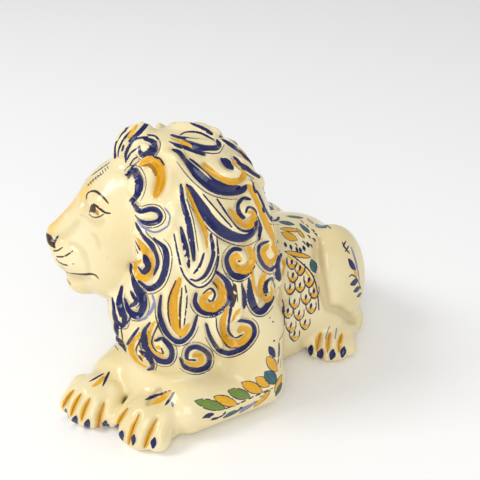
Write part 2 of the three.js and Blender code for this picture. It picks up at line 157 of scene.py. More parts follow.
# %% [markdown]
# ## Head and body
# The head is turned to the lion's right, so its masses have axes of their own: forward,
# left and up from the middle of the skull. The face looks out of a window in the mane,
# which is cut by two soft planes: one upright behind the face, one sloping under the jaw.
# A paw is a rounded mass with four toes in a fan. SOFT says over how many millimetres each
# group of masses runs into the rest.

# %% The masses of the lion
HEAD_AT = np.array([-35.0, -107.0, 215.0])
HEAD_TURN = math.radians(-50)
RIM_BACK = 8.0
JAW_HEIGHT = -72
JAW_BACK = -17
JAW_SLOPE = 1.4
SOFT = {"hair": 40, "legs": 16, "paws": 8, "tail": 8, "rim": 8, "mane": 10, "face": 5, "ears": 8, "floor": 6}
TO_SIDE = 0.5
head_cos, head_sin = math.cos(HEAD_TURN), math.sin(HEAD_TURN)


def head(forward, left, up):
    return [left, -forward, up]


def to_head(p):
    d = p - HEAD_AT
    return np.stack([head_cos * d[:, 0] + head_sin * d[:, 1],
                     head_cos * d[:, 1] - head_sin * d[:, 0], d[:, 2]], 1)


def from_head(h):
    return HEAD_AT + np.stack([head_cos * h[:, 0] - head_sin * h[:, 1],
                               head_sin * h[:, 0] + head_cos * h[:, 1], h[:, 2]], 1)


TORSO = [
    (blob([0, 68, 58], [68, 114, 89]), 1),
    (blob([0, -20, 84], [62, 66, 70]), 24),
    (blob([0, -84, 30], [56, 66, 44]), 16),
]
LEGS = [
    (both_sides(blob([51, 106, 66], [39, 53, 75])), 1),
    (both_sides(limb([70, 122, 20], 20, [76, 92, 17], 18)), 10),
    (both_sides(blob([60, -42, 72], [32, 36, 62])), 16),
    (limb([70, -42, 27], 27, [44, -122, 24], 24), 12),
    (limb([-70, -42, 27], 27, [-52, -132, 24], 24), 12),
]
TOES = 4
TOE_GAP = 14.5
TOE_REACH = 21
TOE_FALL = 4
TOE_ROOT = 0.8
TOE_SOFT = 2.5


def paw(place, turn, size):
    c, s = math.cos(math.radians(turn)), math.sin(math.radians(turn))
    forms = [(blob([0, 0, 14], [28, 31, 30]), 1)]
    for k in range(TOES):
        side = (k - (TOES - 1) / 2) * TOE_GAP
        reach = TOE_REACH - (side / TOE_GAP) ** 2 * TOE_FALL
        forms.append((limb([side * TOE_ROOT, 2, 27], 12, [side, -reach, 13], 12.5), TOE_SOFT))

    def form(p):
        dx, dy = (p[:, 0] - place[0]) / size, (p[:, 1] - place[1]) / size
        return size * join(forms, np.stack([c * dx + s * dy, c * dy - s * dx, p[:, 2] / size], 1))
    return form


PAWS = [
    (paw([21, -152], 2, 1), 1),
    (paw([-44, -164], 16, 1), 6),
    (paw([77, 80], 46, 0.82), 6),
    (paw([-77, 80], -46, 0.82), 6),
]
TAIL = [
    (limb([-14, 174, 22], 12, [-58, 160, 22], 11), 1),
    (limb([-58, 160, 22], 11, [-86, 128, 44], 9), 5),
    (blob([-89, 108, 60], [9, 22, 15], 8), 8),
]
MANE = [
    (blob([3, -58, 150], [79, 87, 90]), 1),
    (blob([0, -98, 112], [62, 57, 70]), 24),
]
MANE_TOP = [(blob(head(-46, 0, 6), [68, 73, 70]), 1)]
FACE = [
    (blob(head(-5, 0, -5), [52, 55, 57]), 1),
    (limb(head(30, 0, 1), 22, head(71, 0, -29), 13.5), 14),
    (blob(head(46, 0, -46), [27, 35, 28]), 12),
    (blob(head(18, 0, -50), [44, 40, 46]), 14),
    (blob(head(50, 0, -76), [22, 19, 16]), 8),
    (both_sides(blob(head(37, 25, 9), [7, 9, 7])), 3),
    (both_sides(limb(head(38, 15, 17), 6, head(22, 32, 17), 8)), 10),
    (both_sides(blob(head(72, 9, -34), [8, 9, 7])), 5),
]
EARS_AND_FORELOCK = [
    (blob(head(-10, 0, 54), [20, 24, 27]), 1),
    (blob(head(-35, 46, 57), [16, 22, 26]), 8),
    (blob(head(-35, -46, 43), [16, 22, 25]), 8),
]


def skin(p):
    h = to_head(p)
    jaw = (JAW_HEIGHT + JAW_SLOPE * (h[:, 1] - JAW_BACK) - h[:, 2]) / math.hypot(1, JAW_SLOPE)
    window = np.maximum(h[:, 1] - RIM_BACK, jaw)
    hair = union(join(MANE, p), join(MANE_TOP, h), SOFT["hair"])
    d = union(join(TORSO, p), join(LEGS, p), SOFT["legs"])
    d = union(d, join(PAWS, p), SOFT["paws"])
    d = union(d, join(TAIL, p), SOFT["tail"])
    d = union(d, cut(hair, window, SOFT["rim"]), SOFT["mane"])
    d = union(d, join(FACE, h), SOFT["face"])
    d = union(d, join(EARS_AND_FORELOCK, h), SOFT["ears"])
    return cut(d, p[:, 2], SOFT["floor"])


def facing(p):
    """The direction straight out of the skin at each point."""
    steps = TO_SIDE * np.eye(3)
    slope = np.stack([skin(p + side) - skin(p - side) for side in steps], 1)
    return slope / np.linalg.norm(slope, axis=1, keepdims=True)


print("the eye is", round(float(skin(eye[None])[0])), "mm from the skin")

# %% [markdown]
# ## Skin
# A mesh is drawn over the field's zero level: the field is sampled on a grid, every cell
# that the skin crosses gets one vertex at the middle of its crossings, and four cells
# round a crossed edge give one face. Marching cubes would do too, but it makes more
# slivers. Only blocks near the skin are sampled finely. Where two inside corners of a grid
# square face each other across it, the skin would pinch to a line, so the corner nearest
# the skin changes sides.

# %% Draw the skin
STEP = 1.5
BLOCK = 4
BLOCKS_OFF = 1.6
LOW = np.array([-120.0, -215.0, -6.0])
HIGH = np.array([120.0, 200.0, 315.0])


def sample(field, low, high, step):
    shape = (np.ceil((high - low) / step / BLOCK).astype(int) + 1) * BLOCK
    blocks = np.stack(np.meshgrid(*[np.arange(0, n, BLOCK) for n in shape], indexing="ij"), -1)
    blocks = blocks.reshape(-1, 3)
    rough = field(low + step * (blocks + (BLOCK - 1) / 2))
    value = np.repeat(rough.reshape(shape // BLOCK), BLOCK, 0).repeat(BLOCK, 1).repeat(BLOCK, 2)
    near = blocks[np.abs(rough) < step * BLOCK * BLOCKS_OFF]
    offsets = np.stack(np.meshgrid(*[np.arange(BLOCK)] * 3, indexing="ij"), -1).reshape(-1, 3)
    fine = (near[:, None] + offsets[None]).reshape(-1, 3)
    value[tuple(fine.T)] = field(low + step * fine)
    return value


def mend_saddles(value):
    mended = 1
    while mended:
        mended = 0
        for one, two in ((0, 1), (1, 2), (2, 0)):
            axes = [one, two, 3 - one - two]
            v = value.transpose(axes)
            inside = v < 0
            cross = ((inside[:-1, :-1] == inside[1:, 1:]) & (inside[:-1, 1:] == inside[1:, :-1])
                     & (inside[:-1, :-1] != inside[1:, :-1]))
            for i, j, k in np.argwhere(cross):
                corners = [(i, j, k), (i + 1, j, k), (i, j + 1, k), (i + 1, j + 1, k)]
                nearest = min(corners, key=lambda at: abs(v[at]))
                v[nearest] *= -1
                mended += 1
    return value


def draw_skin(value, low, step):
    inside = value < 0
    corners = np.stack(np.meshgrid([0, 1], [0, 1], [0, 1], indexing="ij"), -1).reshape(-1, 3)
    size = np.array(value.shape) - 1
    count = sum(inside[c[0]:c[0] + size[0], c[1]:c[1] + size[1], c[2]:c[2] + size[2]].astype(np.int8)
                for c in corners)
    cells = np.argwhere((count > 0) & (count < len(corners)))
    total, crossings = np.zeros((len(cells), 3)), np.zeros(len(cells))
    for a in range(len(corners)):
        for b in range(a + 1, len(corners)):
            if np.abs(corners[a] - corners[b]).sum() != 1:
                continue
            va, vb = value[tuple((cells + corners[a]).T)], value[tuple((cells + corners[b]).T)]
            crossed = (va < 0) != (vb < 0)
            t = np.where(crossed, va / np.where(crossed, va - vb, 1), 0)[:, None]
            total += np.where(crossed[:, None], corners[a] * (1 - t) + corners[b] * t, 0)
            crossings += crossed
    points = low + step * (cells + total / crossings[:, None])
    number = np.full(value.shape, -1, np.int32)
    number[tuple(cells.T)] = np.arange(len(cells))
    faces = []
    for axis in range(3):
        along = np.eye(3, dtype=int)[axis]
        u, v = np.eye(3, dtype=int)[(axis + 1) % 3], np.eye(3, dtype=int)[(axis + 2) % 3]
        here = np.argwhere(inside[:value.shape[0] - along[0], :value.shape[1] - along[1],
                                  :value.shape[2] - along[2]]
                           != inside[along[0]:, along[1]:, along[2]:])
        ring = np.stack([number[tuple(c.T)] for c in (here, here - u, here - u - v, here - v)], 1)
        outwards = inside[tuple(here.T)]
        faces.append(np.where(outwards[:, None], ring, ring[:, ::-1]))
    return points, np.concatenate(faces)


value = mend_saddles(sample(skin, LOW, HIGH, STEP))
smooth_points, smooth_faces = draw_skin(value, LOW, STEP)
print("skin:", len(smooth_points), "vertices,", len(smooth_faces), "quads")

# %% [markdown]
# ## Where a stroke lies
# The modeller's locks and the painter's strokes are both set out on a drawing of the lion
# from its left front, 480 units square, with x to the right and y down. A line of sight
# from the eye through a point of the drawing finds the place on the skin. A line that
# passes just outside the outline takes the place where it comes nearest.

# %% From the drawing to the skin
OUTLINE_ROOM = 7.0
OUTLINE_RISE = 0.5
SIGHT_HALF = 300
CLOSE = 0.1
STEP_SHARE = 0.5
LEAST_STEP = 0.3
DOT_HALF = 0.4
STRAIGHT_POINTS = 30
CURVE_POINTS = 16


def sight_lines(drawn):
    drawn = np.array(drawn, float)
    middle = PICTURE_SIZE / 2
    aims = (AIM + (drawn[:, :1] - middle) / UNITS_PER_MM * rightwards
            + (middle - drawn[:, 1:]) / UNITS_PER_MM * upwards)
    rays = aims - eye
    return rays / np.linalg.norm(rays, axis=1, keepdims=True)


def onto_skin(drawn):
    rays = sight_lines(drawn)
    t = np.full(len(rays), DISTANCE - SIGHT_HALF)
    best, best_t = np.full(len(rays), np.inf), t.copy()
    live = np.arange(len(rays))
    while len(live):
        d = skin(eye + t[live, None] * rays[live])
        passed = (best[live] < OUTLINE_ROOM) & (d > best[live] + OUTLINE_RISE)
        nearer = ~passed & (d < best[live])
        best[live[nearer]] = d[nearer]
        best_t[live[nearer]] = t[live[nearer]]
        going = ~passed & (d >= CLOSE) & (t[live] < DISTANCE + SIGHT_HALF)
        t[live] += np.maximum(d * STEP_SHARE, LEAST_STEP)
        live = live[going]
    return eye + best_t[:, None] * rays


def smooth_line(points, step):
    """Points at even steps along a smooth line through the given ones."""
    points = np.array(points, float)
    if len(points) == 1:
        points = np.array([points[0] - [DOT_HALF, 0], points[0] + [DOT_HALF, 0]])
    if len(points) == 2:
        dense = np.linspace(points[0], points[1], STRAIGHT_POINTS)
    else:
        padded = np.vstack([2 * points[0] - points[1], points, 2 * points[-1] - points[-2]])
        t = np.linspace(0, 1, CURVE_POINTS, endpoint=False)[:, None]
        dense = []
        for a, b, c, d in zip(padded, padded[1:], padded[2:], padded[3:]):
            dense.append(0.5 * (2 * b + (c - a) * t + (2 * a - 5 * b + 4 * c - d) * t ** 2
                                + (3 * b - a - 3 * c + d) * t ** 3))
        dense = np.vstack(dense + [points[-1:]])
    run = np.concatenate([[0], np.cumsum(np.linalg.norm(np.diff(dense, axis=0), axis=1))])
    count = max(2, int(math.ceil(run[-1] / step)) + 1)
    at = np.linspace(0, run[-1], count)
    return np.stack([np.interp(at, run, dense[:, k]) for k in (0, 1)], 1)


EAR_DROP = 0.15
SNAP_ROUNDS = 6


def other_side(p, drop=EAR_DROP):
    """The same points on the other side of the head, which hangs a little lower there."""
    h = to_head(p)
    q = from_head(np.stack([-h[:, 0], h[:, 1], h[:, 2] - drop * np.maximum(h[:, 0], 0)], 1))
    for _ in range(SNAP_ROUNDS):
        q = q - skin(q)[:, None] * facing(q)
    return q


print("the tip of the nose:", onto_skin([[47, 231]])[0].round(1))

# %% [markdown]
# ## Locks
# The model maker raised the curls of the mane as soft lobes and pressed grooves into them
# with a rounded tool, and the painter followed those grooves. Here each lobe and each
# groove is a stroke with a half width. Every vertex of the skin gets two numbers, how far
# it is up a lobe and how deep in a groove, and a Geometry Nodes tree blurs them over the
# mesh and moves the skin by them. Sculpting by hand would do it too, but this way the
# paint and the relief come from the same drawing. The far side gets the mirrored strokes
# where they have room. The creases where the haunches fold onto the hind paws are pressed
# in like the grooves.

# %% Lobes and grooves of the mane
LOBES = [
    [8, (121, 154), (126, 140), (138, 130), (147, 127)], [13, (146, 148)],
    [8, (132, 177), (137, 198)], [12, (141, 213), (157, 217)],
    [8, (137, 232), (158, 233), (172, 218), (174, 208)],
    [9, (171, 140), (190, 147), (216, 148)], [8, (176, 128), (200, 132), (214, 139)],
    [11, (176, 156), (192, 173), (212, 183), (235, 182), (240, 168)],
    [8, (224, 143), (240, 151), (256, 167)], [6, (238, 161), (252, 173), (262, 186)],
    [9, (250, 187), (260, 212), (272, 240), (271, 257)], [13, (248, 214)],
    [10, (190, 190), (205, 211), (224, 228), (248, 234), (256, 225)],
    [10, (184, 190), (192, 225), (205, 255), (199, 272)],
    [8, (179, 236), (187, 270), (202, 283), (214, 262), (212, 238)],
    [15, (240, 262)], [17, (211, 297)], [8, (238, 283), (236, 318)], [14, (266, 290)],
    [7, (250, 274), (255, 306)], [6, (278, 258), (278, 293)], [18, (240, 334)],
    [9, (226, 304), (223, 326)], [13, (195, 359)], [13, (180, 282), (177, 306), (182, 330)],
    [12, (160, 349)], [8, (155, 321), (150, 336)], [11, (143, 357)],
    [7, (138, 334), (134, 350)], [12, (138, 303)], [8, (133, 270), (137, 290)],
    [9, (121, 311)], [8, (114, 296), (119, 342)], [16, (145, 264)],
    [8, (139, 232), (151, 248)], [8, (162, 246), (168, 266), (158, 286)],
    [7, (214, 318), (221, 346)],
]
GROOVES = [
    [5, (142, 166), (150, 161), (158, 166), (161, 176), (160, 186), (156, 196)],
    [4.5, (204, 165), (214, 175), (226, 182), (238, 182), (243, 175), (236, 167)],
    [5, (249, 187), (257, 205), (264, 222), (273, 242), (272, 256)],
    [4.5, (231, 211), (240, 223), (250, 222), (250, 212)],
    [4.5, (187, 188), (197, 212), (207, 240)],
    [5, (249, 248), (252, 262), (240, 270), (233, 261)],
    [5, (216, 280), (223, 294), (214, 307), (203, 299)],
    [5, (264, 276), (262, 294), (270, 298)],
    [5.5, (227, 308), (222, 324), (231, 343), (246, 337), (240, 329)],
    [4.5, (195, 355), (201, 361), (190, 367)],
    [5.5, (179, 280), (174, 302), (178, 330), (187, 327)],
    [4.5, (153, 324), (147, 341), (158, 353)], [4.5, (138, 336), (133, 350), (142, 362)],
    [5, (139, 241), (149, 258), (148, 275), (138, 274)],
    [4.5, (146, 141), (154, 148), (144, 155)],
    [5, (176, 154), (196, 175), (220, 190), (244, 189)],
    [5, (189, 190), (206, 214), (232, 235), (254, 228)],
    [4.5, (133, 270), (142, 298), (136, 314)], [4.5, (114, 300), (115, 325), (124, 348)],
    [4.5, (133, 205), (150, 210), (158, 218), (146, 223)],
]
HAUNCH_CREASES = [
    [7, (316, 238), (318, 262), (323, 287), (328, 309)],
    [6, (328, 309), (338, 311), (348, 317), (357, 322)],
]
LOCK_STEP = 1.5
LOCK_TAPER = 0.45
LOBE_ROOM = 9
GROOVE_ROOM = 5
EVERY = 4
MIRROR = np.array([-1, 1, 1])


def lay_out(lines):
    """Strokes on the near side: (points on the skin, half width in mm at each)."""
    drawn = [smooth_line(line, LOCK_STEP) for _, *line in lines]
    placed = onto_skin(np.vstack(drawn))
    strokes, start = [], 0
    for (wide, *_), points in zip(lines, drawn):
        end = np.abs(np.linspace(-1, 1, len(points)))
        half = wide / UNITS_PER_MM * (1 - LOCK_TAPER * end ** 3)
        strokes.append((placed[start:start + len(points)], half))
        start += len(points)
    return strokes


def gap(one, other):
    """How near two strokes come to each other."""
    return np.sqrt(((one[::EVERY, None] - other[None, ::EVERY]) ** 2).sum(2)).min()


def shifted(lines, move):
    """The same lines with all their points moved at once."""
    ends = np.cumsum([len(at) for at in lines])
    return np.split(move(np.vstack(lines)), ends[:-1])


def both_manes(lines, room):
    """Strokes on the near side, and their mirrored ones where they have room."""
    near = lay_out(lines)
    far = shifted([at for at, _ in near], other_side)
    kept = [(at, wide) for at, (_, wide) in zip(far, near)
            if all(gap(at, other) > room for other, _ in near)]
    return near + kept


def both_cheeks(lines):
    near = lay_out(lines)
    return near + [(other_side(at, 0.0), wide) for at, wide in near]


def swell(points, strokes):
    """How far a vertex is up (or down) a stroke: 1 on its middle line, 0 at its edge."""
    best = np.zeros(len(points))
    for at, wide in strokes:
        reach = wide.max()
        near = np.flatnonzero(np.all((points > at.min(0) - reach) & (points < at.max(0) + reach), 1))
        if len(near):
            q = ((points[near][:, None] - at[None]) ** 2).sum(2) / wide ** 2
            best[near] = np.maximum(best[near], (1 - q).max(1))
    return best


creases = lay_out(HAUNCH_CREASES)
creases += [(at * MIRROR, wide) for at, wide in creases]
lobes = both_manes(LOBES, LOBE_ROOM)
grooves = both_manes(GROOVES, GROOVE_ROOM) + creases
lobe_swell, groove_swell = swell(smooth_points, lobes), swell(smooth_points, grooves)
print(len(lobes), "lobes and", len(grooves), "grooves on both sides of the mane")

# %% [markdown]
# ## Carving with Geometry Nodes
# The tree blurs the two numbers over the mesh, so the lobes are soft like pressed clay,
# and moves every vertex along its normal. Its heights are named inputs. A third number,
# the fine grooves under the brush strokes, is blurred only a little.

# %% One function that adds a node
def add(tree, kind, **settings):
    node = tree.nodes.new(kind)
    for name, value in settings.items():
        if name == "inputs":
            for socket, given in value.items():
                if isinstance(given, bpy.types.NodeSocket):
                    tree.links.new(given, node.inputs[socket])
                else:
                    node.inputs[socket].default_value = given
        else:
            setattr(node, name, value)
    return node


def maths(tree, operation, one, two=0.0):
    return add(tree, "ShaderNodeMath", operation=operation, inputs={0: one, 1: two}).outputs[0]


print("nodes can be added")

# %% The carving tree
LOBE_HEIGHT = 7.0
GROOVE_DEPTH = 6.0
ROUNDING = 9
FINE_ROUNDS = 1
STEP_ROUNDS = 2

carving = bpy.data.node_groups.new("carve the locks", "GeometryNodeTree")
for name, kind in (("Geometry", "NodeSocketGeometry"), ("Lobe height", "NodeSocketFloat"),
                   ("Groove depth", "NodeSocketFloat"), ("Rounding", "NodeSocketInt"),
                   ("Glaze", "NodeSocketMaterial")):
    carving.interface.new_socket(name, in_out="INPUT", socket_type=kind)
carving.interface.new_socket("Geometry", in_out="OUTPUT", socket_type="NodeSocketGeometry")
given = add(carving, "NodeGroupInput").outputs


def blurred(name, rounds):
    number = add(carving, "GeometryNodeInputNamedAttribute", data_type="FLOAT", inputs={"Name": name})
    return add(carving, "GeometryNodeBlurAttribute", data_type="FLOAT",
               inputs={0: number.outputs["Attribute"], "Iterations": rounds}).outputs[0]


up = maths(carving, "MULTIPLY", blurred("lobe", given["Rounding"]), given["Lobe height"])
down = maths(carving, "MULTIPLY", blurred("groove", given["Rounding"]), given["Groove depth"])
rise = maths(carving, "SUBTRACT", up, down)
rise = maths(carving, "SUBTRACT", rise, blurred("fine", FINE_ROUNDS))
normal = add(carving, "GeometryNodeInputNormal").outputs["Normal"]
step = add(carving, "ShaderNodeVectorMath", operation="SCALE", inputs={0: normal, "Scale": rise})
step = add(carving, "GeometryNodeBlurAttribute", data_type="FLOAT_VECTOR",
           inputs={"Value": step.outputs[0], "Iterations": STEP_ROUNDS})
kept = add(carving, "GeometryNodeStoreNamedAttribute", data_type="FLOAT",
           inputs={"Geometry": given["Geometry"], "Name": "rise", "Value": rise})
moved = add(carving, "GeometryNodeSetPosition",
            inputs={"Geometry": kept.outputs[0], "Offset": step.outputs[0]})
real = add(carving, "GeometryNodeRealizeInstances", inputs={"Geometry": moved.outputs[0]})
glazed = add(carving, "GeometryNodeSetMaterial",
             inputs={"Geometry": real.outputs[0], "Material": given["Glaze"]})
add(carving, "NodeGroupOutput", inputs={"Geometry": glazed.outputs[0]})
print("carving tree:", len(carving.nodes), "nodes")

# %% [markdown]
# ## The painting
# The painter works on the raw glaze with a pointed brush, so every mark is a stroke that
# swells and thins. A stroke here is a colour, its half width (one number, or the numbers
# at its start, middle and end) and the points it passes through on the drawing. Outlines
# and shadows of the curls are cobalt, their hollows yellow, the deepest lines brown.
# Strokes that come later in a list lie over the earlier ones. The forelock and the ear
# come first: thin hairs that fan out from the brow, and a yellow ear with a cobalt rim.

# %% Strokes of the forelock, the forehead and the ear
FORELOCK = [
    ("cobalt", 2.2, (115, 158), (116, 148), (120, 137), (130, 127), (143, 121), (147, 124),
     (142, 131), (137, 136), (130, 142)),
    ("cobalt", 1.1, (118, 158), (119, 150), (124, 140), (133, 130)),
    ("cobalt", 1, (124, 146), (122, 152)),
    ("yellow", 2, (137, 126), (133, 132), (129, 138)),
    ("cobalt", 1.3, (126, 163), (126, 155), (130, 146), (136, 140), (148, 138)),
    ("cobalt", (1.7, 3.6, 2.2), (145, 140), (152, 142), (155, 146), (152, 153), (146, 157),
     (141, 154), (140, 149)),
    ("cobalt", 1.3, (148, 136), (155, 137), (159, 141)),
    ("cobalt", 1, (127, 161), (131, 154), (139, 148)),
    ("cobalt", 1, (130, 166), (134, 160), (138, 158)),
    ("cobalt", 1, (131, 169), (139, 162)),
]
EAR = [
    ("yellow", (2.4, 5.1, 2.9), (142, 165), (150, 161), (158, 166), (161, 176), (160, 186), (156, 196)),
    ("ochre", (0.8, 1.5, 0.6), (143, 167), (149, 166), (154, 171), (156, 177)),
    ("cobalt", 1.3, (154, 158), (160, 160), (164, 166)),
    ("cobalt", (1.7, 4.2, 2), (129, 179), (130, 174), (135, 172), (139, 178), (140, 186), (137, 196),
     (133, 201)),
    ("cobalt", (1.4, 2.8, 1.7), (132, 202), (137, 210), (142, 212), (150, 210), (157, 211), (161, 217),
     (158, 222), (150, 224), (142, 222), (136, 217)),
    ("slate", 1.2, (137, 221), (145, 229), (156, 233), (168, 227)),
    ("slate", 1, (165, 209), (170, 217), (168, 227)),
]
print(len(FORELOCK + EAR), "strokes on the forelock and round the ear")

# %% [markdown]
# ### Crown and back
# Over the crown the locks run back in long sweeps, with a broad cobalt stroke in the valley
# and a yellow one beside it. At the back they hang down and curl up at their ends.

# %% Strokes of the crown and the back of the mane
CROWN = [
    ("cobalt", (2, 3.6, 1.7), (172, 136), (185, 141), (200, 147), (215, 149), (219, 146), (217, 142)),
    ("cobalt", 1.3, (180, 136), (187, 133), (200, 134), (214, 141)),
    ("cobalt", 1.1, (182, 138), (200, 140)),
    ("yellow", 2.4, (171, 139), (180, 142), (190, 147)),
    ("cobalt", (1.4, 2.2, 1.1), (170, 143), (188, 150), (205, 156)),
    ("cobalt", 2, (191, 124), (203, 129), (212, 135)),
    ("cobalt", (1.4, 5.6, 2), (173, 151), (180, 155), (190, 168), (200, 179), (212, 188), (225, 192),
     (238, 192), (247, 187)),
    ("cobalt", (1, 2.2, 1), (190, 160), (205, 172), (218, 183), (240, 188)),
    ("yellow", (1.5, 3.2, 2), (204, 165), (214, 175), (226, 182), (238, 182), (243, 175),
     (240, 167), (234, 164)),
    ("cobalt", (2.1, 5, 1.7), (222, 161), (227, 165), (232, 170)),
    ("cobalt", (1.1, 2.5, 2.5), (222, 140), (240, 153), (258, 172)),
    ("cobalt", (1.1, 2.8, 1.1), (234, 158), (243, 167), (260, 178)),
    ("yellow", 1.7, (240, 149), (249, 158), (257, 166)),
]
BACK_LOCKS = [
    ("yellow", (2, 4.1, 2.4), (249, 187), (257, 205), (264, 222), (273, 242), (275, 254),
     (271, 263), (265, 261), (263, 252), (267, 247)),
    ("cobalt", (1.1, 2.8, 1.1), (268, 242), (260, 246), (259, 256), (263, 265), (270, 270), (276, 266)),
    ("cobalt", (1.1, 2.8, 1.4), (253, 185), (261, 202), (268, 217), (276, 221), (279, 217)),
    ("slate", 1, (262, 188), (268, 197), (273, 208)),
    ("yellow", 1.6, (275, 195), (278, 203), (279, 212)),
    ("cobalt", (1.1, 2.1, 1), (258, 218), (260, 228), (259, 241)),
    ("cobalt", 1.8, (250, 200), (243, 199), (238, 205), (239, 214), (244, 219)),
    ("cobalt", 1.4, (217, 200), (230, 219), (240, 230), (250, 231), (256, 220), (254, 210),
     (248, 208), (246, 213)),
    ("yellow", (1.2, 2.7, 1.7), (231, 211), (240, 223), (248, 227), (254, 219), (252, 212)),
    ("yellow", 2.7, (250, 213)),
    ("cobalt", (1.4, 5.6, 2), (187, 186), (194, 199), (204, 213), (216, 227), (230, 236), (245, 239),
     (255, 232), (258, 222)),
    ("cobalt", (1, 2.2, 1), (190, 187), (199, 200), (210, 213)),
    ("cobalt", 1, (203, 195), (222, 217), (232, 228)),
    ("cobalt", (1.7, 3.6, 1.4), (281, 255), (278, 265), (280, 281)),
    ("yellow", 1.8, (284, 262), (283, 275)),
]
print(len(CROWN + BACK_LOCKS), "strokes on the crown and the back of the mane")

# %% [markdown]
# ### Side and cheek
# The longest locks hang from the crown past the cheek and end in curls. A curl has an outer
# stroke in cobalt, an inner one in yellow and often a brown dab in its eye.

# %% Strokes of the long locks and the curls of the side
SIDE_LOCKS = [
    ("cobalt", (1.4, 3.1, 1.3), (181, 186), (183, 203), (189, 225), (193, 250), (194, 261)),
    ("cobalt", (1.1, 2.9, 1.1), (181, 228), (186, 250), (189, 268)),
    ("cobalt", 1.3, (174, 235), (178, 255), (184, 276), (198, 288), (211, 281), (218, 262), (217, 238)),
    ("yellow", (1, 2.3, 1.2), (186, 188), (196, 212), (205, 232), (207, 248)),
    ("cobalt", (1.1, 2.8, 1.3), (211, 235), (213, 255), (206, 274), (197, 281), (191, 280)),
    ("cobalt", 1.3, (204, 254), (200, 266), (194, 274)),
    ("cobalt", (1.4, 3.1, 1.4), (241, 250), (233, 250), (227, 258), (228, 268), (234, 276), (243, 276),
     (254, 267)),
    ("yellow", (1.5, 3.4, 2), (249, 248), (253, 258), (248, 269), (239, 270), (232, 262),
     (236, 256), (240, 260)),
    ("brown", 1.5, (239, 262)),
    ("cobalt", (1.4, 3.4, 1.7), (216, 272), (226, 281), (229, 292), (224, 304), (212, 312), (201, 311),
     (195, 303), (196, 294)),
    ("yellow", (1.7, 3.7, 2), (216, 280), (223, 292), (219, 304), (208, 308), (202, 303),
     (206, 295), (211, 293)),
    ("brown", (0.6, 1.1, 0.6), (212, 282), (216, 286), (218, 290)),
    ("cobalt", 1.3, (203, 294), (210, 289), (215, 294), (212, 302), (208, 300)),
    ("brown", (1, 2, 1), (235, 285), (234, 296), (233, 307)),
    ("cobalt", (1.7, 3.9, 2.2), (242, 285), (243, 296), (244, 307)),
    ("yellow", (1.2, 2.4, 1.2), (240, 309), (235, 316), (232, 322)),
    ("cobalt", (1.4, 3.6, 1.1), (249, 280), (250, 296), (255, 309), (262, 311), (270, 302), (274, 297)),
    ("yellow", (1, 2.7, 1.2), (253, 271), (254, 284), (257, 296)),
    ("yellow", (1.1, 2.7, 1.5), (266, 273), (261, 287), (264, 300), (272, 296), (271, 288)),
    ("cobalt", 1.7, (266, 296), (266, 284), (272, 279), (275, 288)),
]
CHEEK_LOCKS = [
    ("yellow", (1.5, 3.4, 2), (138, 240), (148, 256), (151, 267), (146, 279), (138, 276),
     (136, 266), (140, 262)),
    ("yellow", 4.1, (139, 264)),
    ("brown", 1.2, (139, 264)),
    ("cobalt", (1.1, 2.8, 1.3), (144, 256), (148, 266), (144, 273), (138, 268)),
    ("cobalt", (1.3, 3.1, 1.4), (136, 224), (143, 237), (153, 248), (158, 262), (154, 275)),
    ("cobalt", (1.4, 3.6, 1.1), (139, 282), (149, 289), (160, 283), (166, 266), (165, 250), (154, 239)),
    ("cobalt", 1, (135, 241), (140, 251)),
    ("cobalt", 1, (135, 247), (138, 254)),
    ("cobalt", (1.4, 3.8, 1.7), (131, 265), (133, 280), (141, 296), (144, 307), (138, 316),
     (129, 311), (125, 300)),
    ("cobalt", (1.1, 2.5, 1.3), (131, 292), (136, 302), (130, 307)),
    ("slate", (0.9, 1.7, 0.9), (152, 294), (154, 305), (146, 318), (138, 320)),
    ("cobalt", (1.3, 2.9, 1.4), (122, 287), (120, 300), (125, 318), (123, 326), (118, 322)),
    ("cobalt", 1.1, (131, 317), (127, 324)),
    ("cobalt", 1.3, (117, 303), (119, 310), (121, 317)),
    ("cobalt", (1.4, 3.6, 2), (112, 299), (114, 315), (116, 335), (125, 351)),
    ("green", (0.9, 2, 1), (104, 298), (105, 310), (107, 325)),
    ("brown", 0.8, (108, 300), (109, 315), (110, 330)),
    ("brown", 0.8, (121, 328), (123, 342)),
]
print(len(SIDE_LOCKS + CHEEK_LOCKS), "strokes on the side and the cheek")

# %% [markdown]
# ### Chest
# On the chest the locks are shorter, and their curls hang down to the forelegs.

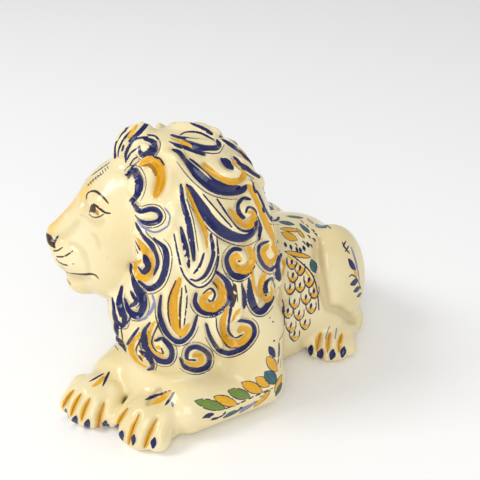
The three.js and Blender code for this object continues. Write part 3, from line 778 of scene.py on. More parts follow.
# %% Strokes of the curls on the chest
CHEST_LOCKS = [
    ("cobalt", (1.2, 2.6, 1.2), (161, 296), (160, 315), (168, 335), (180, 342), (191, 333), (197, 316)),
    ("cobalt", 1.1, (176, 281), (169, 300), (170, 322), (181, 338)),
    ("yellow", (1.7, 4.4, 2.4), (180, 279), (174, 300), (175, 322), (182, 334), (188, 325)),
    ("brown", (0.6, 1.4, 0.6), (182, 288), (180, 310), (180, 329)),
    ("cobalt", 0.9, (185, 286), (187, 300), (184, 326)),
    ("yellow", (1.2, 2.6, 1.5), (154, 323), (147, 340), (152, 352), (163, 357)),
    ("yellow", 2.9, (158, 348)),
    ("brown", 1, (159, 323), (152, 340), (155, 350), (163, 354), (161, 348)),
    ("cobalt", (1.2, 3, 1.1), (155, 341), (163, 339), (172, 350), (169, 361), (158, 360), (146, 348),
     (144, 333), (150, 323)),
    ("yellow", (1.2, 2.7, 1.5), (140, 334), (131, 348), (136, 361), (145, 367)),
    ("yellow", 2.7, (142, 357)),
    ("brown", 1, (142, 337), (136, 351), (143, 362)),
    ("cobalt", (1.2, 2.4, 1.2), (140, 351), (149, 357), (153, 367), (148, 370)),
    ("cobalt", (0.8, 1.7, 1.1), (139, 328), (133, 336), (127, 345)),
    ("cobalt", (1.2, 2.6, 1.3), (206, 324), (210, 337), (219, 350), (230, 353), (244, 347),
     (254, 334), (252, 324), (244, 321), (238, 321)),
    ("cobalt", 1.2, (232, 300), (229, 322), (229, 332), (235, 338), (243, 335)),
    ("yellow", (1.7, 3.8, 2), (227, 308), (222, 322), (223, 336), (231, 344), (243, 341),
     (249, 332), (243, 328), (238, 331)),
    ("cobalt", 0.8, (216, 318), (218, 332), (228, 347), (238, 348)),
    ("cobalt", (1.3, 2.7, 1.1), (195, 361), (187, 359), (188, 350), (197, 347), (208, 354),
     (208, 365), (197, 370), (185, 367), (180, 358)),
    ("yellow", (1.2, 2.3, 1.3), (193, 356), (200, 355), (201, 363), (194, 366), (185, 361)),
]
print(len(CHEST_LOCKS), "strokes on the chest")

# %% [markdown]
# ### Hair lines
# A thin line of ink, drawn with the tip of the brush, follows each of the wider cobalt
# strokes along its outer side. It lies under the other strokes, so it never crosses one.

# %% Hair lines beside the wide strokes
MANE_STROKES = FORELOCK + EAR + CROWN + BACK_LOCKS + SIDE_LOCKS + CHEEK_LOCKS + CHEST_LOCKS
ECHO_LEAST = 2.4
ECHO_ROOM = 1.9
ECHO_STEP = 4.0
ECHO_CUT = 8
ECHO_WIDE = (0.3, 0.6, 0.3)
LEAST_POINTS = 3


def echo(wide, *line):
    """A hair line that follows a wide stroke along its outer side."""
    at = smooth_line(line, ECHO_STEP)
    along = np.gradient(at, axis=0)
    across = np.stack([along[:, 1], -along[:, 0]], 1) / np.linalg.norm(along, axis=1, keepdims=True)
    turn = np.sum(along[:-1, 0] * along[1:, 1] - along[:-1, 1] * along[1:, 0])
    middle = wide[1] if isinstance(wide, tuple) else wide
    outer = at + across * (middle + ECHO_ROOM) * (1 if turn > 0 else -1)
    cut_off = max(1, len(at) // ECHO_CUT)
    return ("ink", ECHO_WIDE, *outer[cut_off:-cut_off].tolist())


wide_ones = [s for s in MANE_STROKES
             if s[0] == "cobalt" and np.max(s[1]) >= ECHO_LEAST and len(s[2:]) >= LEAST_POINTS]
MANE_STROKES = [echo(*s[1:]) for s in wide_ones] + MANE_STROKES
print(len(wide_ones), "wide strokes have a hair line beside them")

# %% [markdown]
# ### Face
# The face is drawn in brown: the lids round an amber iris with a dark pupil, the nostril
# and the mouth. The brow is two lines of ink with a row of short hairs.

# %% Strokes of the face
FACE_STROKES = [
    ("brown", (0.7, 1.3, 0.6), (86.5, 200), (87, 196), (88.5, 193.5), (91.3, 192), (96, 192.3),
     (101, 196), (105, 200), (108.5, 204.4)),
    ("amber", (1.4, 3.1, 1.4), (95, 210.5), (96.5, 213), (98, 215)),
    ("brown", (1.3, 4.5, 1.4), (90.5, 211.5), (92.8, 209.5), (94.6, 206.8)),
    ("brown", (1, 1.4, 0.6), (89.5, 213), (92.3, 205.6), (96, 206.7), (100.4, 210), (105, 213.3),
     (111, 214.2)),
    ("brown", (0.6, 0.8, 0.4), (89, 215), (92.5, 217.6), (96, 218.2), (100, 217.2), (104.5, 214.6)),
    ("brown", (2, 3.9, 2), (46.8, 235.5), (49.6, 241), (53.8, 247)),
    ("brown", (1.1, 1.3, 0.6), (53.8, 245.5), (56, 240), (58.7, 236.2)),
    ("brown", (1.1, 0.8, 0.4), (54, 251.5), (58, 251), (63, 247.7)),
    ("brown", (0.7, 1, 0.4), (56.4, 257.2), (63, 257.3), (68, 255), (73.7, 251.2)),
    ("brown", (0.7, 1, 0.4), (55.7, 258.8), (59.5, 263), (66.8, 265.7), (75.6, 264)),
    ("brown", (0.6, 1.3, 0.6), (67, 273), (74, 274.3), (84, 275), (92, 274.6), (96.6, 276.4),
     (98.5, 279.4)),
    ("brown", (0.4, 0.8, 0.6), (65, 275), (68.3, 281.7), (71, 285)),
    ("ink", (0.4, 1.5, 0.5), (110.5, 163), (101, 169.5), (91, 177)),
    ("ink", (0.4, 0.8, 0.4), (104, 173.5), (95, 179.5), (87, 187)),
]
BROW_HAIRS = 9
BROW_AT = (107, 166.5)
BROW_STEP = (2.4, 2.2)
BROW_HAIR = (1.6, 3.4)
BROW_WIDE = 0.45
for k in range(BROW_HAIRS):
    x, y = BROW_AT[0] - BROW_STEP[0] * k, BROW_AT[1] + BROW_STEP[1] * k
    FACE_STROKES.append(("ink", BROW_WIDE, (x, y), (x + BROW_HAIR[0], y + BROW_HAIR[1])))
print(len(FACE_STROKES), "strokes on the face")

# %% [markdown]
# ### Forelegs
# A sprig of leaves runs along the left foreleg. A leaf is one press of the brush on a
# slightly wider one in ink, so it keeps a dark rim. Each front paw has a small fan of petals.

# %% Leaves, petals and fans of the forelegs
LEAF_RIM = 1.0
RIM_ENDS = 0.9
LEAF_TIP = 0.2
LEAF_BASE = 0.3


def leaf(colour, tip, base, wide):
    """A leaf in one press of the brush, with a dark outline under it."""
    middle = ((tip[0] + base[0]) / 2, (tip[1] + base[1]) / 2)
    return [("ink", (RIM_ENDS, wide + LEAF_RIM, RIM_ENDS), tip, middle, base),
            (colour, (LEAF_TIP, wide, LEAF_BASE), tip, middle, base)]


SPRIG = [("ink", 0.9, (225, 409), (238, 404), (253, 397), (273, 388))]
for colour, tip, base, wide in [
        ("green", (195, 401), (225, 408.6), 4.4), ("yellow", (214, 397), (237, 405), 4.3),
        ("green", (228, 391), (250, 397), 4.6), ("yellow", (242, 383), (262, 392), 4.8),
        ("yellow", (256, 378), (269, 386), 4.4), ("teal", (265, 372), (277, 383), 5.6),
        ("yellow", (267, 357), (277, 371), 4.4), ("cobalt", (269, 347), (275, 357), 2.8),
        ("cobalt", (203, 418), (214, 414), 2.2), ("cobalt", (211, 420), (226.5, 412), 2.6),
        ("teal", (223, 418), (243, 407), 2.8), ("slate", (239.5, 413), (257, 399), 3),
        ("yellow", (254, 407), (270, 391), 3.4), ("yellow", (282, 375), (275, 392), 3),
        ("teal", (282, 383), (276, 396), 3)]:
    SPRIG += leaf(colour, tip, base, wide)
SPRIG += [
    ("cobalt", 1.6, (274, 341)),
    ("cobalt", (0.8, 1.8, 0.8), (279, 342), (279, 353), (278, 364)),
    ("green", (0.5, 1.2, 0.5), (283, 351), (281, 360), (280.5, 368)),
]
DOTS_AT = (228, 382)
DOTS_FALL = 16
DOTS_RUN = 29
DOTS_GAP = 4
DOT_WIDE = 0.5
for x in range(DOTS_AT[0], DOTS_AT[0] - DOTS_RUN, -DOTS_GAP):
    SPRIG.append(("ink", DOT_WIDE, (x, DOTS_AT[1] + DOTS_FALL * (DOTS_AT[0] - x) / DOTS_RUN)))
FANS = [
    ("cobalt", (0.3, 1.3, 1), (89, 382), (96, 378), (103, 374)),
    ("yellow", (0.4, 2.2, 1.6), (92, 387), (98, 383), (104, 377)),
    ("cobalt", (1, 1.4, 0.3), (109, 372.5), (106, 379), (102.6, 386.6)),
    ("slate", 0.9, (115.6, 381)),
    ("cobalt", (0.3, 1.7, 1.2), (145, 400), (157, 395.5), (170, 391.5)),
    ("yellow", (0.5, 3, 2), (151, 405), (160, 400), (170, 393)),
    ("cobalt", (1.2, 1.7, 0.3), (173.6, 393), (170, 399), (165, 405.6)),
    ("slate", (0.7, 1.6, 0.7), (172, 401), (173, 407)),
]
print(len(SPRIG + FANS), "strokes on the forelegs")

# %% [markdown]
# ### Toes
# Every nail is a dab of cobalt. In the grooves between the toes lie yellow strokes, with a
# darker line along the middle.

# %% Toes and nails
TOE_STROKES = []
for low_end, high_end in [
        ((63, 407), (74, 390)), ((71, 415), (81, 394)), ((81.5, 420), (90, 398.6)),
        ((98, 429), (104, 403)), ((117, 426), (128, 408)), ((128.6, 444), (139, 414)),
        ((144.4, 447), (157, 419)), ((320.5, 334), (317, 351)), ((330, 333), (327.5, 352)),
        ((341.6, 334.5), (339, 352))]:
    middle = ((low_end[0] + high_end[0]) / 2 - 1, (low_end[1] + high_end[1]) / 2)
    TOE_STROKES += [("yellow", (1.6, 2.6, 0.7), low_end, middle, high_end),
                    ("ochre", (0.4, 0.9, 0.3), low_end, middle, high_end)]
for x, y in [(65, 416), (75, 421), (87.4, 424.6), (104.8, 425.7), (115, 431), (121.4, 436),
             (133.3, 440), (153.6, 443), (310.7, 350.7), (321, 354), (332, 354.5), (343, 352)]:
    TOE_STROKES.append(("cobalt", (1.6, 3.2, 1.8), (x + 0.8, y - 4), (x, y), (x - 0.6, y + 3.6)))
TOE_STROKES += [("slate", 0.7, (329.7, 326), (327, 333), (325.4, 339)),
                ("slate", 0.7, (336.8, 328), (335, 339))]
print(len(TOE_STROKES), "strokes on the toes")

# %% [markdown]
# ### Flank
# A panel on the flank is filled with fish scales, each a yellow dab, an ink outline and a cobalt dot. Above
# it lies a bunch of small leaves and petals, and a thin branch follows the rim of the haunch. An ink line
# down the back edge of the shoulder is painted shade, where the shoulder's outline passes in front of the
# flank.

# %% Scales and flowers of the flank
FLANK = [
    ("brown", 0.9, (285.8, 252), (299, 261), (311, 273), (316, 285), (318, 298), (319, 311)),
    ("yellow", 1.1, (287.5, 256), (299, 265), (309, 276), (313.5, 287), (315.5, 300)),
    # painted shade: an ink line along the shoulder's outline where it passes in front of the flank
    ("ink", 0.7, (282.5, 300), (284, 308), (284, 330), (279, 341)),
]
for x, y in [(292, 263), (300, 269), (293, 276), (309, 281), (300, 286), (290, 288), (314, 292),
             (306, 298), (294.5, 302.5), (311, 307), (299, 314), (288, 312), (305, 323), (291, 326),
             (294.5, 334.5)]:
    FLANK += [
        ("yellow", (1, 2.3, 1), (x - 3, y + 1.6), (x, y + 3.6), (x + 3, y + 1.6)),
        ("ink", 0.8, (x - 5, y - 5), (x - 4.6, y + 2), (x, y + 6.8), (x + 4.6, y + 2), (x + 5, y - 5)),
        ("cobalt", (1, 1.8, 1), (x + 0.3, y - 3), (x, y - 1), (x - 0.3, y + 1.2)),
    ]
for colour, tip, base, wide in [
        ("teal", (303, 218), (286, 216.5), 2.4), ("teal", (294, 224.5), (279, 222), 3),
        ("yellow", (300, 231), (281, 229), 2.4), ("yellow", (297, 240), (282, 233), 5),
        ("teal", (309, 233), (300, 224), 2.2), ("yellow", (304, 238), (297, 229), 1.6),
        ("teal", (326, 228), (317, 224), 4.4), ("yellow", (310, 257.5), (285, 252), 2.2),
        ("teal", (315.5, 272.5), (311.5, 260), 3.4), ("yellow", (313, 224), (308, 219), 1.8)]:
    FLANK += leaf(colour, tip, base, wide)
for x, y in [(285.5, 245), (291, 247.5), (297, 250), (300.5, 250.5), (304, 248.5), (308, 245)]:
    FLANK.append(("cobalt", (0.8, 1.9, 0.8), (x - 0.8, y - 2.4), (x, y), (x + 0.6, y + 2.4)))
for x, y in [(302, 222), (307, 226), (313, 231), (309, 237), (314, 240), (304, 243), (296, 245),
             (311, 246), (316, 235)]:
    FLANK.append(("ink", (0.5, 0.9, 0.4), (x - 1.6, y - 1.6), (x + 0.4, y - 0.4), (x + 1.4, y + 2)))
FLANK += [
    ("brown", 0.9, (317.5, 219.5), (324, 223), (331, 229)),
    ("ink", (0.5, 1.2, 0.5), (342, 242), (345, 248), (350, 254)),
    ("cobalt", (0.4, 1, 0.4), (346, 241), (343, 247)), ("cobalt", (0.4, 1, 0.4), (349, 246), (345, 252)),
    ("slate", (0.8, 1.8, 0.8), (351, 247), (355, 259), (358, 272), (359.5, 281)),
    ("cobalt", (1.4, 3.4, 1.2), (349, 260), (352, 265), (355.5, 270)),
    ("yellow", (0.8, 2.2, 0.8), (354, 270.5), (355.5, 273.5), (357, 277)),
    ("brown", 0.8, (349, 277), (352.5, 275), (357.5, 280), (361.5, 290)),
    ("cobalt", (1.8, 3.6, 1), (351.6, 284), (354.5, 282.5), (358, 280.5)),
    ("cobalt", (1.6, 3.2, 1), (354.5, 291), (357, 289.5), (360, 288)),
    ("cobalt", (1.2, 2.4, 0.8), (357.5, 296), (359.5, 295), (361.5, 293.5)),
    ("brown", 1.3, (273, 322)), ("brown", 0.9, (270, 318)),
]
print(len(FLANK), "strokes on the flank")

# %% [markdown]
# ## Fine grooves
# Under the wider strokes the clay is pressed in a little more, as the maker's tool left
# it. There are also creases behind the left front paw and beside two locks, and folds
# round the eye, the cheek and the mouth.

# %% The fine grooves
FINE_DEPTH = 3.2
FINE_EDGE = 1.4
CREASE_DEPTH = 4.5
FOLD_DEPTH = 2.0
PRESSED_FROM = 1.8
TOE_PRESSED_FROM = 2.5
FINE_ROOM = 4
CREASES = [
    [4, (148, 404), (153, 396), (160, 390)], [6, (217, 234), (243, 246), (252, 243)],
    [6, (151, 236), (160, 233), (168, 224)],
]
FOLDS = [
    [5, (86, 197), (84, 204), (87, 212)], [4, (87, 220), (95, 224), (104, 222)],
    [5, (70, 244), (80, 250), (86, 262), (88, 273)], [4, (92, 236), (97, 242), (99, 250)],
    [5, (62, 268), (72, 279), (90, 280)], [5, (47, 235), (60, 238), (70, 232), (78, 222)],
]


def pressed(strokes, least):
    """The strokes that are wide enough to lie in a groove."""
    lines = []
    for colour, wide, *line in strokes:
        widest = max(wide) if isinstance(wide, tuple) else wide
        if colour in ("cobalt", "yellow") and widest >= least and len(line) > 1:
            lines.append([widest + FINE_EDGE, *line])
    return lines


mane_lines = both_manes(pressed(MANE_STROKES, PRESSED_FROM), FINE_ROOM)
toe_lines = lay_out(pressed(TOE_STROKES, TOE_PRESSED_FROM))
fine = FINE_DEPTH * swell(smooth_points, mane_lines + toe_lines)
fine = np.maximum(fine, CREASE_DEPTH * swell(smooth_points, lay_out(CREASES)))
fine = np.maximum(fine, FOLD_DEPTH * swell(smooth_points, both_cheeks(FOLDS)))
print("fine grooves on", int((fine > 0).sum()), "vertices")

# %% [markdown]
# ## Carve and thin
# The tree runs once and its result becomes a plain mesh. It is thinned where the skin is
# calm, which keeps the vertices for the curls.

# %% Carve and thin
MOST_TRIANGLES = 198000

majolica = bpy.data.materials.new("majolica_tin_glaze")


def carved_mesh(points, faces, numbers):
    mesh = bpy.data.meshes.new("lion_skin")
    mesh.from_pydata(points.tolist(), [], faces.tolist())
    for name, amounts in numbers.items():
        mesh.attributes.new(name, "FLOAT", "POINT").data.foreach_set("value", amounts)
    clay = bpy.data.objects.new("clay", mesh)
    bpy.context.collection.objects.link(clay)
    nodes = clay.modifiers.new("carving", "NODES")
    nodes.node_group = carving
    sockets = {item.name: item.identifier
               for item in carving.interface.items_tree if item.in_out == "INPUT"}
    nodes[sockets["Lobe height"]] = LOBE_HEIGHT
    nodes[sockets["Groove depth"]] = GROOVE_DEPTH
    nodes[sockets["Rounding"]] = ROUNDING
    nodes[sockets["Glaze"]] = majolica
    thin = clay.modifiers.new("thinning", "DECIMATE")
    thin.ratio = MOST_TRIANGLES / (2 * len(faces))
    thin.use_collapse_triangulate = True
    bpy.context.view_layer.update()
    carved = clay.evaluated_get(bpy.context.evaluated_depsgraph_get())
    plain = bpy.data.meshes.new_from_object(carved)
    bpy.data.objects.remove(clay)
    return plain


mesh = carved_mesh(smooth_points, smooth_faces,
                   {"lobe": lobe_swell, "groove": groove_swell, "fine": fine})
points = np.empty(len(mesh.vertices) * 3, np.float32)
mesh.vertices.foreach_get("co", points)
points = points.reshape(-1, 3).astype(float)
triangles = np.empty(len(mesh.loops), np.int32)
mesh.loops.foreach_get("vertex_index", triangles)
triangles = triangles.reshape(-1, 3)
print("carved:", len(points), "vertices,", len(triangles), "triangles, box", points.min(0).round(1),
      points.max(0).round(1))

# %% [markdown]
# ## Strokes on the carved skin
# Each stroke is laid on the carved skin along the lines of sight. What the drawing doesn't
# show, the far side of the head and the right side of the body, gets the mirrored strokes,
# and only where the eye can't see them. A stroke ends where its points jump from one mass
# to another.

# %% Lay the strokes on the skin
MOST_JUMP = 9.0
SHOW_ROOM = 2.0
PAINT_STEP = 1.0
BRUSH_SWELL = 0.7
END_NARROWING = 0.3
END_SHARPNESS = 6
HIND_PAW_FROM = 300
surface = BVHTree.FromPolygons(points.tolist(), triangles.tolist())
FOCAL = UNITS_PER_MM * DISTANCE


def half_widths(wide, count):
    """A stroke swells and thins between its ends, or keeps its width and narrows at them."""
    if isinstance(wide, tuple):
        t = np.linspace(0, 1, count)
        ends = np.where(t < 0.5, wide[0], wide[2])
        return ends + (wide[1] - ends) * np.sin(math.pi * t) ** BRUSH_SWELL
    return wide * (1 - END_NARROWING * np.abs(np.linspace(-1, 1, count)) ** END_SHARPNESS)


def nearest_on_skin(p):
    return np.array([tuple(surface.find_nearest(Vector(q))[0]) for q in p])


def shows(p):
    """Whether the eye can see each point, so nothing lies in front of it."""
    rays = p - eye
    far = np.linalg.norm(rays, axis=1)
    seen = []
    for ray, length in zip(rays / far[:, None], far):
        hit = surface.ray_cast(Vector(eye), Vector(ray))
        seen.append(hit[0] is None or hit[3] > length - SHOW_ROOM)
    return np.array(seen)


def runs(keep, at):
    """The unbroken stretches of a stroke whose points are kept."""
    stretches, current = [], []
    for k in range(len(at)):
        joined = bool(current) and np.linalg.norm(at[k] - at[k - 1]) <= MOST_JUMP
        if not keep[k] or (current and not joined):
            if len(current) > 1:
                stretches.append(current)
            current = []
        if keep[k]:
            current.append(k)
    return stretches + ([current] if len(current) > 1 else [])


def lay_paint(strokes):
    drawn = [smooth_line(line, PAINT_STEP) for _, _, *line in strokes]
    rays = sight_lines(np.vstack(drawn))
    hits = [surface.ray_cast(Vector(eye), Vector(ray)) for ray in rays]
    missed = [k for k, hit in enumerate(hits) if hit[0] is None]
    at = np.array([tuple(hit[0]) if hit[0] is not None else (0.0, 0.0, 0.0) for hit in hits])
    if missed:
        at[missed] = nearest_on_skin(onto_skin(np.vstack(drawn)[missed]))
    laid, start = [], 0
    for (colour, wide, *_), line in zip(strokes, drawn):
        p = at[start:start + len(line)]
        w = half_widths(wide, len(line)) * np.linalg.norm(p - eye, axis=1) / FOCAL
        start += len(line)
        laid += [(colour, p[run], w[run]) for run in runs(np.ones(len(p), bool), p)]
    return laid


def on_the_far_side(laid, mirror):
    far = []
    there = shifted([p for _, p, _ in laid], lambda p: nearest_on_skin(mirror(p)))
    for (colour, _, w), q in zip(laid, there):
        far += [(colour, q[run], w[run]) for run in runs(~shows(q), q)]
    return far


mane = lay_paint(MANE_STROKES)
face = lay_paint(FACE_STROKES)
body = lay_paint(SPRIG + FLANK + TOE_STROKES)
paws = lay_paint(FANS)
behind = [s for s in TOE_STROKES if s[2][0] > HIND_PAW_FROM]
hidden = on_the_far_side(mane, other_side)
hidden += on_the_far_side(face, lambda p: other_side(p, 0.0))
hidden += on_the_far_side(lay_paint(SPRIG + FLANK + behind), lambda p: p * MIRROR)
laid = hidden + body + paws + mane + face
print(len(laid), "strokes on the skin,", len(hidden), "of them where the eye doesn't see")

# %% [markdown]
# ## From strokes to numbers
# A stroke is cut into short pieces. Each triangle near a piece stores, at its three
# corners, how far the corner lies to the side of the piece, the half width there, the
# distance along and a code for the oxide. So the shader can draw a crisp edge inside a
# triangle. A triangle keeps up to six pieces, the nearest ones, in the order in which they
# were painted. An image would be the usual way; this needs none. An oxide has two colours:
# where the paint is thick, and where it's thin.

# %% Numbers at the corners of the triangles
PALETTE = {
    "cobalt": ("#08104E", "#2F3F92"), "slate": ("#7B83A6", "#A9AEC0"), "ink": ("#23264A", "#4A4E6E"),
    "yellow": ("#DDA417", "#EDBE45"), "amber": ("#B97A14", "#D09A3A"), "ochre": ("#9C6B17", "#B98A36"),
    "brown": ("#37200F", "#5A4030"), "teal": ("#2C5A60", "#5A8A88"), "green": ("#6C8638", "#93A85C"),
}
COLOURS = list(PALETTE)
LAYERS = 6
PIECE = 10
PIECE_OVERLAP = 2
LEAST_SQUARE = 1e-9
LEAST_TIP = 0.3
CUT_SLOPE = 2
UNPAINTED = np.array([99.0, -1.0, 0.0, 0.0])

corners = points[triangles]
centres = corners.mean(1)
reach = np.linalg.norm(corners - centres[:, None], axis=2).max(1)


def measure(p, at, w, normal, run, first, last):
    """Side distance, half width and distance along, at points p beside one piece.

    The ends of a stroke are round. Where a piece only meets the next one, it's cut off.
    """
    a, step = at[:-1], at[1:] - at[:-1]
    length2 = np.maximum((step ** 2).sum(1), LEAST_SQUARE)
    t = np.clip(((p[:, None] - a) * step).sum(2) / length2, 0, 1)
    k = (((p[:, None] - a - t[..., None] * step) ** 2).sum(2)).argmin(1)
    t = t[np.arange(len(p)), k]
    away = p - a[k] - t[:, None] * step[k]
    forward = step[k] / np.sqrt(length2[k])[:, None]
    side = np.cross(normal[k], forward)
    s = (away * side).sum(1) / np.maximum(np.linalg.norm(side, axis=1), TINY)
    ahead = (away * forward).sum(1)
    wide = w[k] + t * (w[k + 1] - w[k])
    over = np.where((k == 0) & (t == 0), -ahead, np.where((k == len(a) - 1) & (t == 1), ahead, 0))
    free = np.where(k == 0, first, last)
    over = np.maximum(over, 0)
    round_end = over ** 2 / (2 * np.maximum(wide, LEAST_TIP))
    wide = wide - np.where(free, round_end, CUT_SLOPE * over)
    along = run[k] + t * np.sqrt(length2[k]) + over
    return np.stack([s, wide, along], 1)


def beside(low, high, among):
    """The triangles among these that reach into a box."""
    room = reach[among, None]
    return among[np.all((centres[among] > low - room) & (centres[among] < high + room), 1)]


every = np.arange(len(triangles))
found, scores, order, numbers = [], [], [], []
normals = shifted([at for _, at, _ in laid], facing)
for number, ((colour, at, w), normal) in enumerate(zip(laid, normals)):
    run = np.concatenate([[0], np.cumsum(np.linalg.norm(np.diff(at, axis=0), axis=1))])
    around = beside(at.min(0) - w.max(), at.max(0) + w.max(), every)
    for start in range(0, len(at) - 1, PIECE - PIECE_OVERLAP):
        stop = min(start + PIECE, len(at))
        part = slice(start, stop)
        wide = w[part].max()
        near = beside(at[part].min(0) - wide, at[part].max(0) + wide, around)
        far = np.linalg.norm(centres[near][:, None] - at[part][None], axis=2).min(1)
        near, far = near[far < wide + reach[near]], far[far < wide + reach[near]]
        if not len(near):
            continue
        got = measure(corners[near].reshape(-1, 3), at[part], w[part], normal[part], run[part],
                      start == 0, stop == len(at)).reshape(-1, 3, 3)
        s, room = got[..., 0], got[..., 1]
        inside = (np.abs(s) < room).any(1) | ((s.min(1) < 0) & (s.max(1) > 0) & (room.max(1) > 0))
        near, got, far = near[inside], got[inside], far[inside]
        found.append(near)
        scores.append(far - got[..., 1].max(1))
        order.append(np.full(len(near), number))
        code = np.full((len(near), 3, 1), (COLOURS.index(colour) + 0.5) / len(COLOURS))
        numbers.append(np.concatenate([got, code], 2))
        if stop == len(at):
            break
found, scores, order = np.concatenate(found), np.concatenate(scores), np.concatenate(order)
numbers = np.concatenate(numbers)


def place_in_triangle(sort_by):
    """For each entry, its place among those of its own triangle."""
    rank = np.lexsort((sort_by, found))
    sorted_found = found[rank]
    first = np.concatenate([[True], sorted_found[1:] != sorted_found[:-1]])
    begin = np.maximum.accumulate(np.where(first, np.arange(len(rank)), 0))
    place = np.empty(len(rank), int)
    place[rank] = np.arange(len(rank)) - begin
    return place


near_enough = place_in_triangle(scores) < LAYERS
found, order, numbers = found[near_enough], order[near_enough], numbers[near_enough]
layer = place_in_triangle(order)
for k in range(LAYERS):
    values = np.tile(UNPAINTED, (len(triangles), 3, 1))
    values[found[layer == k]] = numbers[layer == k]
    stored = mesh.attributes.new(f"stroke_{k}", "FLOAT_COLOR", "CORNER")
    stored.data.foreach_set("color", values.astype(np.float32).ravel())
print("stroke pieces on", len(np.unique(found)), "triangles, layers used", int(layer.max()) + 1)

# %% [markdown]
# ## The wash on the nose
# The bridge of the nose and the chin have a thin wash of pale yellow without an edge,
# brushed on wet. It is a number at each vertex that fades over several millimetres.

# %% The wash
WASH_LINES = [
    [9, (86, 192), (76, 200), (65, 211), (56, 222), (50, 231)],
    [7, (92, 182), (86, 190)],
    [4, (66, 279), (70, 286)],
]
washed = [(nearest_on_skin(at), wide) for at, wide in both_cheeks(WASH_LINES)]
wash = swell(points, washed)
mesh.attributes.new("wash", "FLOAT", "POINT").data.foreach_set("value", wash.astype(np.float32))
print("wash on", int((wash > 0).sum()), "vertices")

# %% [markdown]
# ## Fit
# The skin is set into the CAD solid's box, so the dressed lion and the solid have the same
# size. That takes less than half a percent.

# %% Fit into the CAD box
low, high = [np.array(v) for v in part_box("lion")]
scale = (high - low) / (points.max(0) - points.min(0))
placed = low + (points - points.min(0)) * scale
mesh.vertices.foreach_set("co", placed.astype(np.float32).ravel())
mesh.polygons.foreach_set("use_smooth", np.ones(len(mesh.polygons), bool))
mesh.update()
lion = bpy.data.objects.new("majolica_lion", mesh)
bpy.context.collection.objects.link(lion)
print("fitted to the CAD box by", (scale * MM_PER_M).round(4))

# %% [markdown]
# ## Glaze
# Majolica is earthenware under an opaque tin glaze, fired to a cream white, with metal
# oxides painted on it: cobalt for blue, antimony for yellow, copper for green, iron and
# manganese for brown. The glaze is glassy (IOR 1.5, roughness from 0.13 to 0.24), so the
# paint has the same gloss as the ground. A stroke shows the hairs of the brush as lighter
# streaks along it, less than a millimetre wide.

# %% Colours
CREAM = "#F1E4B9"
DEEP_CREAM = "#E9D8A4"
WASH_YELLOW = "#F0C862"
PAINTED_HOLLOW_SHADE = "#BFAA7A"
# a darker cream, painted into the hollows as shade
PINHOLE_BROWN = "#4A3320"
WHITE_PAPER = "#FEFEFE"
WHITE_LIGHT = "#FFFFFF"


def linear(hex_colour):
    """An sRGB hex colour as linear RGBA."""
    parts = [int(hex_colour[k:k + 2], 16) / 255 for k in (1, 3, 5)]
    return [v / 12.92 if v <= 0.04045 else ((v + 0.055) / 1.055) ** 2.4 for v in parts] + [1.0]


print("cream", [round(v, 3) for v in linear(CREAM)])

# %% Three more functions for nodes
def ranged(tree, value, low, high, to_low=0.0, to_high=1.0):
    return add(tree, "ShaderNodeMapRange", inputs={
        "Value": value, "From Min": low, "From Max": high, "To Min": to_low, "To Max": to_high}).outputs[0]


def mixed(tree, share, under, over):
    return add(tree, "ShaderNodeMix", data_type="RGBA", inputs={0: share, 6: under, 7: over}).outputs[2]


def noise(tree, place, scale, detail):
    return add(tree, "ShaderNodeTexNoise",
               inputs={"Vector": place, "Scale": scale, "Detail": detail}).outputs[0]


print("ranges, mixes and noises can be added")

# %% [markdown]
# ### A brush stroke
# One node group lays one stroke over the colour under it: crisp at its edge, a little
# ragged as a brush leaves it, and streaked along its length. The glaze uses it six times.

# %% One brush stroke as a node group
STREAK_MM = 0.9
STREAK_SQUEEZE = 0.1
STREAKS = (0.56, 0.8)
EDGE_MM = 0.22

brush = bpy.data.node_groups.new("brush stroke", "ShaderNodeTree")
for name, kind in (("Under", "NodeSocketColor"), ("Stroke", "NodeSocketVector"),
                   ("Oxide", "NodeSocketFloat"), ("Ragged", "NodeSocketFloat")):
    brush.interface.new_socket(name, in_out="INPUT", socket_type=kind)
brush.interface.new_socket("Colour", in_out="OUTPUT", socket_type="NodeSocketColor")
taken = add(brush, "NodeGroupInput").outputs
parts = add(brush, "ShaderNodeSeparateXYZ", inputs={0: taken["Stroke"]}).outputs
aside = maths(brush, "ABSOLUTE", parts["X"])
within = maths(brush, "SUBTRACT", parts["Y"], aside)
within = maths(brush, "ADD", within, taken["Ragged"])
cover = ranged(brush, within, -EDGE_MM, EDGE_MM)
along = maths(brush, "MULTIPLY", parts["Z"], STREAK_SQUEEZE)
hairs = add(brush, "ShaderNodeCombineXYZ", inputs={0: parts["X"], 1: along, 2: taken["Oxide"]})
thin_paint = ranged(brush, noise(brush, hairs.outputs[0], 1 / STREAK_MM, detail=2.0), *STREAKS)
ramps = []
for tone in (0, 1):
    ramp = add(brush, "ShaderNodeValToRGB", inputs={0: taken["Oxide"]})
    ramp.color_ramp.interpolation = "CONSTANT"
    stops = ramp.color_ramp.elements
    stops[1].position = 1 / len(COLOURS)
    for k, oxide in enumerate(COLOURS):
        colour_stop = stops[k] if k < 2 else stops.new(k / len(COLOURS))
        colour_stop.color = linear(PALETTE[oxide][tone])
    ramps.append(ramp.outputs[0])
painted = mixed(brush, cover, taken["Under"], mixed(brush, thin_paint, *ramps))
add(brush, "NodeGroupOutput", inputs={0: painted})
print("brush stroke group:", len(brush.nodes), "nodes")
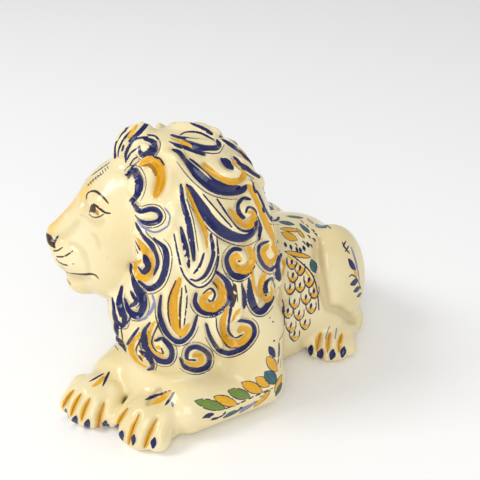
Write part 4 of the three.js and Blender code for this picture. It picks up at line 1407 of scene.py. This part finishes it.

# %% [markdown]
# ### The glaze
# The ground is cream with soft clouds, and a little darker in the hollows: that darkening is painted shade,
# which stands in for the shade that gathers in the grooves. The wash lies on it, then the strokes, and a few
# dark pinholes where gas broke through in the firing. The surface has the slight ripple that dipping leaves.

# %% The glaze material
CLOUD_MM = 45.0
CLOUDS = (0.35, 0.65)
WASH_STRENGTH = 0.85
# painted shade: from how deep the carving lies to how dark the hollow is painted
HOLLOW_SHADE_FROM = 1.0
HOLLOW_SHADE_TO = -3.0
HOLLOW_SHADE_STRENGTH = 0.6
RAGGED_MM = 1.6
RAGGED_BY = 0.28
PINHOLE_GAP_MM = 11.0
PINHOLE_SHARE = 0.07
PINHOLE_EDGE = (0.045, 0.025)
RIPPLE_MM = 9.0
RIPPLE_STRENGTH = 0.25
RIPPLE_HEIGHT = 0.0008
GLOSS = (0.13, 0.24)
GLASS_IOR = 1.5

majolica.use_nodes = True
tree = majolica.node_tree
tree.nodes.clear()
place = add(tree, "ShaderNodeTexCoord").outputs["Object"]
cloud = ranged(tree, noise(tree, place, MM_PER_M / CLOUD_MM, detail=3.0), *CLOUDS)
colour = mixed(tree, cloud, linear(CREAM), linear(DEEP_CREAM))

wash_here = add(tree, "ShaderNodeAttribute", attribute_name="wash").outputs["Fac"]
wash_here = maths(tree, "MULTIPLY", wash_here, WASH_STRENGTH)
colour = mixed(tree, wash_here, colour, linear(WASH_YELLOW))

# Painted shade: the colour is darkened where the carving lies deep, standing in for the shade in the
# hollows.
rise_here = add(tree, "ShaderNodeAttribute", attribute_name="rise").outputs["Fac"]
hollow_shade = ranged(tree, rise_here, HOLLOW_SHADE_FROM, HOLLOW_SHADE_TO, to_high=HOLLOW_SHADE_STRENGTH)
colour = mixed(tree, hollow_shade, colour, linear(PAINTED_HOLLOW_SHADE))

ragged = noise(tree, place, MM_PER_M / RAGGED_MM, detail=1.0)
ragged = ranged(tree, ragged, 0.0, 1.0, -RAGGED_BY, RAGGED_BY)
for k in range(LAYERS):
    stroke_here = add(tree, "ShaderNodeAttribute", attribute_name=f"stroke_{k}").outputs
    colour = add(tree, "ShaderNodeGroup", node_tree=brush, inputs={
        "Under": colour, "Stroke": stroke_here["Vector"], "Oxide": stroke_here["Alpha"],
        "Ragged": ragged}).outputs[0]

cells = add(tree, "ShaderNodeTexVoronoi",
            inputs={"Vector": place, "Scale": MM_PER_M / PINHOLE_GAP_MM}).outputs
rare = add(tree, "ShaderNodeSeparateColor", inputs={0: cells["Color"]}).outputs[0]
rare = maths(tree, "LESS_THAN", rare, PINHOLE_SHARE)
pin = maths(tree, "MULTIPLY", rare, ranged(tree, cells["Distance"], *PINHOLE_EDGE))
colour = mixed(tree, pin, colour, linear(PINHOLE_BROWN))

ripple = noise(tree, place, MM_PER_M / RIPPLE_MM, detail=2.0)
bump = add(tree, "ShaderNodeBump", inputs={
    "Strength": RIPPLE_STRENGTH, "Distance": RIPPLE_HEIGHT, "Height": ripple}).outputs[0]
gloss = ranged(tree, ripple, 0.0, 1.0, *GLOSS)
glaze = add(tree, "ShaderNodeBsdfPrincipled", inputs={
    "Base Color": colour, "Roughness": gloss, "Normal": bump, "IOR": GLASS_IOR})
add(tree, "ShaderNodeOutputMaterial", inputs={0: glaze.outputs[0]})
mesh.materials.clear()
mesh.materials.append(majolica)
print("glaze:", len(tree.nodes), "nodes")

# %% [markdown]
# ## Floor and light
# The floor is matt white paper, pulp pressed and dried, as photographers roll it out. The
# light is soft: one large soft box from the upper left, which lays the shadow to the right,
# a wider one from beside the camera that fills the shadows, and a bright room.

# %% Floor, light and room
FLOOR_HALF = 6.0
PAPER_ROUGHNESS = 0.9
ROOM_STRENGTH = 0.6
KEY = {"at": (-1.7, -2.5, 3.1), "aim": (0, 0, 0.12), "size": 1.5, "power": 62}
FILL = {"at": (2.0, -2.4, 1.9), "aim": (0, 0, 0.1), "size": 2.2, "power": 46}

floor_mesh = bpy.data.meshes.new("floor")
floor_mesh.from_pydata([(-FLOOR_HALF, -FLOOR_HALF, 0), (FLOOR_HALF, -FLOOR_HALF, 0),
                        (FLOOR_HALF, FLOOR_HALF, 0), (-FLOOR_HALF, FLOOR_HALF, 0)], [], [(0, 1, 2, 3)])
floor = bpy.data.objects.new("floor", floor_mesh)
bpy.context.collection.objects.link(floor)
paper = bpy.data.materials.new("matt_white_paper")
paper.use_nodes = True
matt = paper.node_tree.nodes["Principled BSDF"].inputs
matt["Base Color"].default_value = linear(WHITE_PAPER)
matt["Roughness"].default_value = PAPER_ROUGHNESS
floor_mesh.materials.append(paper)

world = bpy.data.worlds.new("bright room")
world.use_nodes = True
sky = world.node_tree.nodes["Background"].inputs
sky["Color"].default_value = linear(WHITE_LIGHT)
sky["Strength"].default_value = ROOM_STRENGTH
bpy.context.scene.world = world
bpy.context.scene.view_settings.view_transform = "Standard"


def softbox(name, at, aim, size, power):
    light = bpy.data.lights.new(name, "AREA")
    light.shape = "RECTANGLE"
    light.size, light.size_y = size, size
    light.energy = power
    lamp = bpy.data.objects.new(name, light)
    bpy.context.collection.objects.link(lamp)
    lamp.location = at
    lamp.rotation_euler = (Vector(aim) - Vector(at)).to_track_quat("-Z", "Y").to_euler()


softbox("key", **KEY)
softbox("fill", **FILL)
print("floor and lights ready")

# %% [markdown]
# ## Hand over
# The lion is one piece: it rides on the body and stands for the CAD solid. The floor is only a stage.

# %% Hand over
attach(lion, "root")
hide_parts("lion")
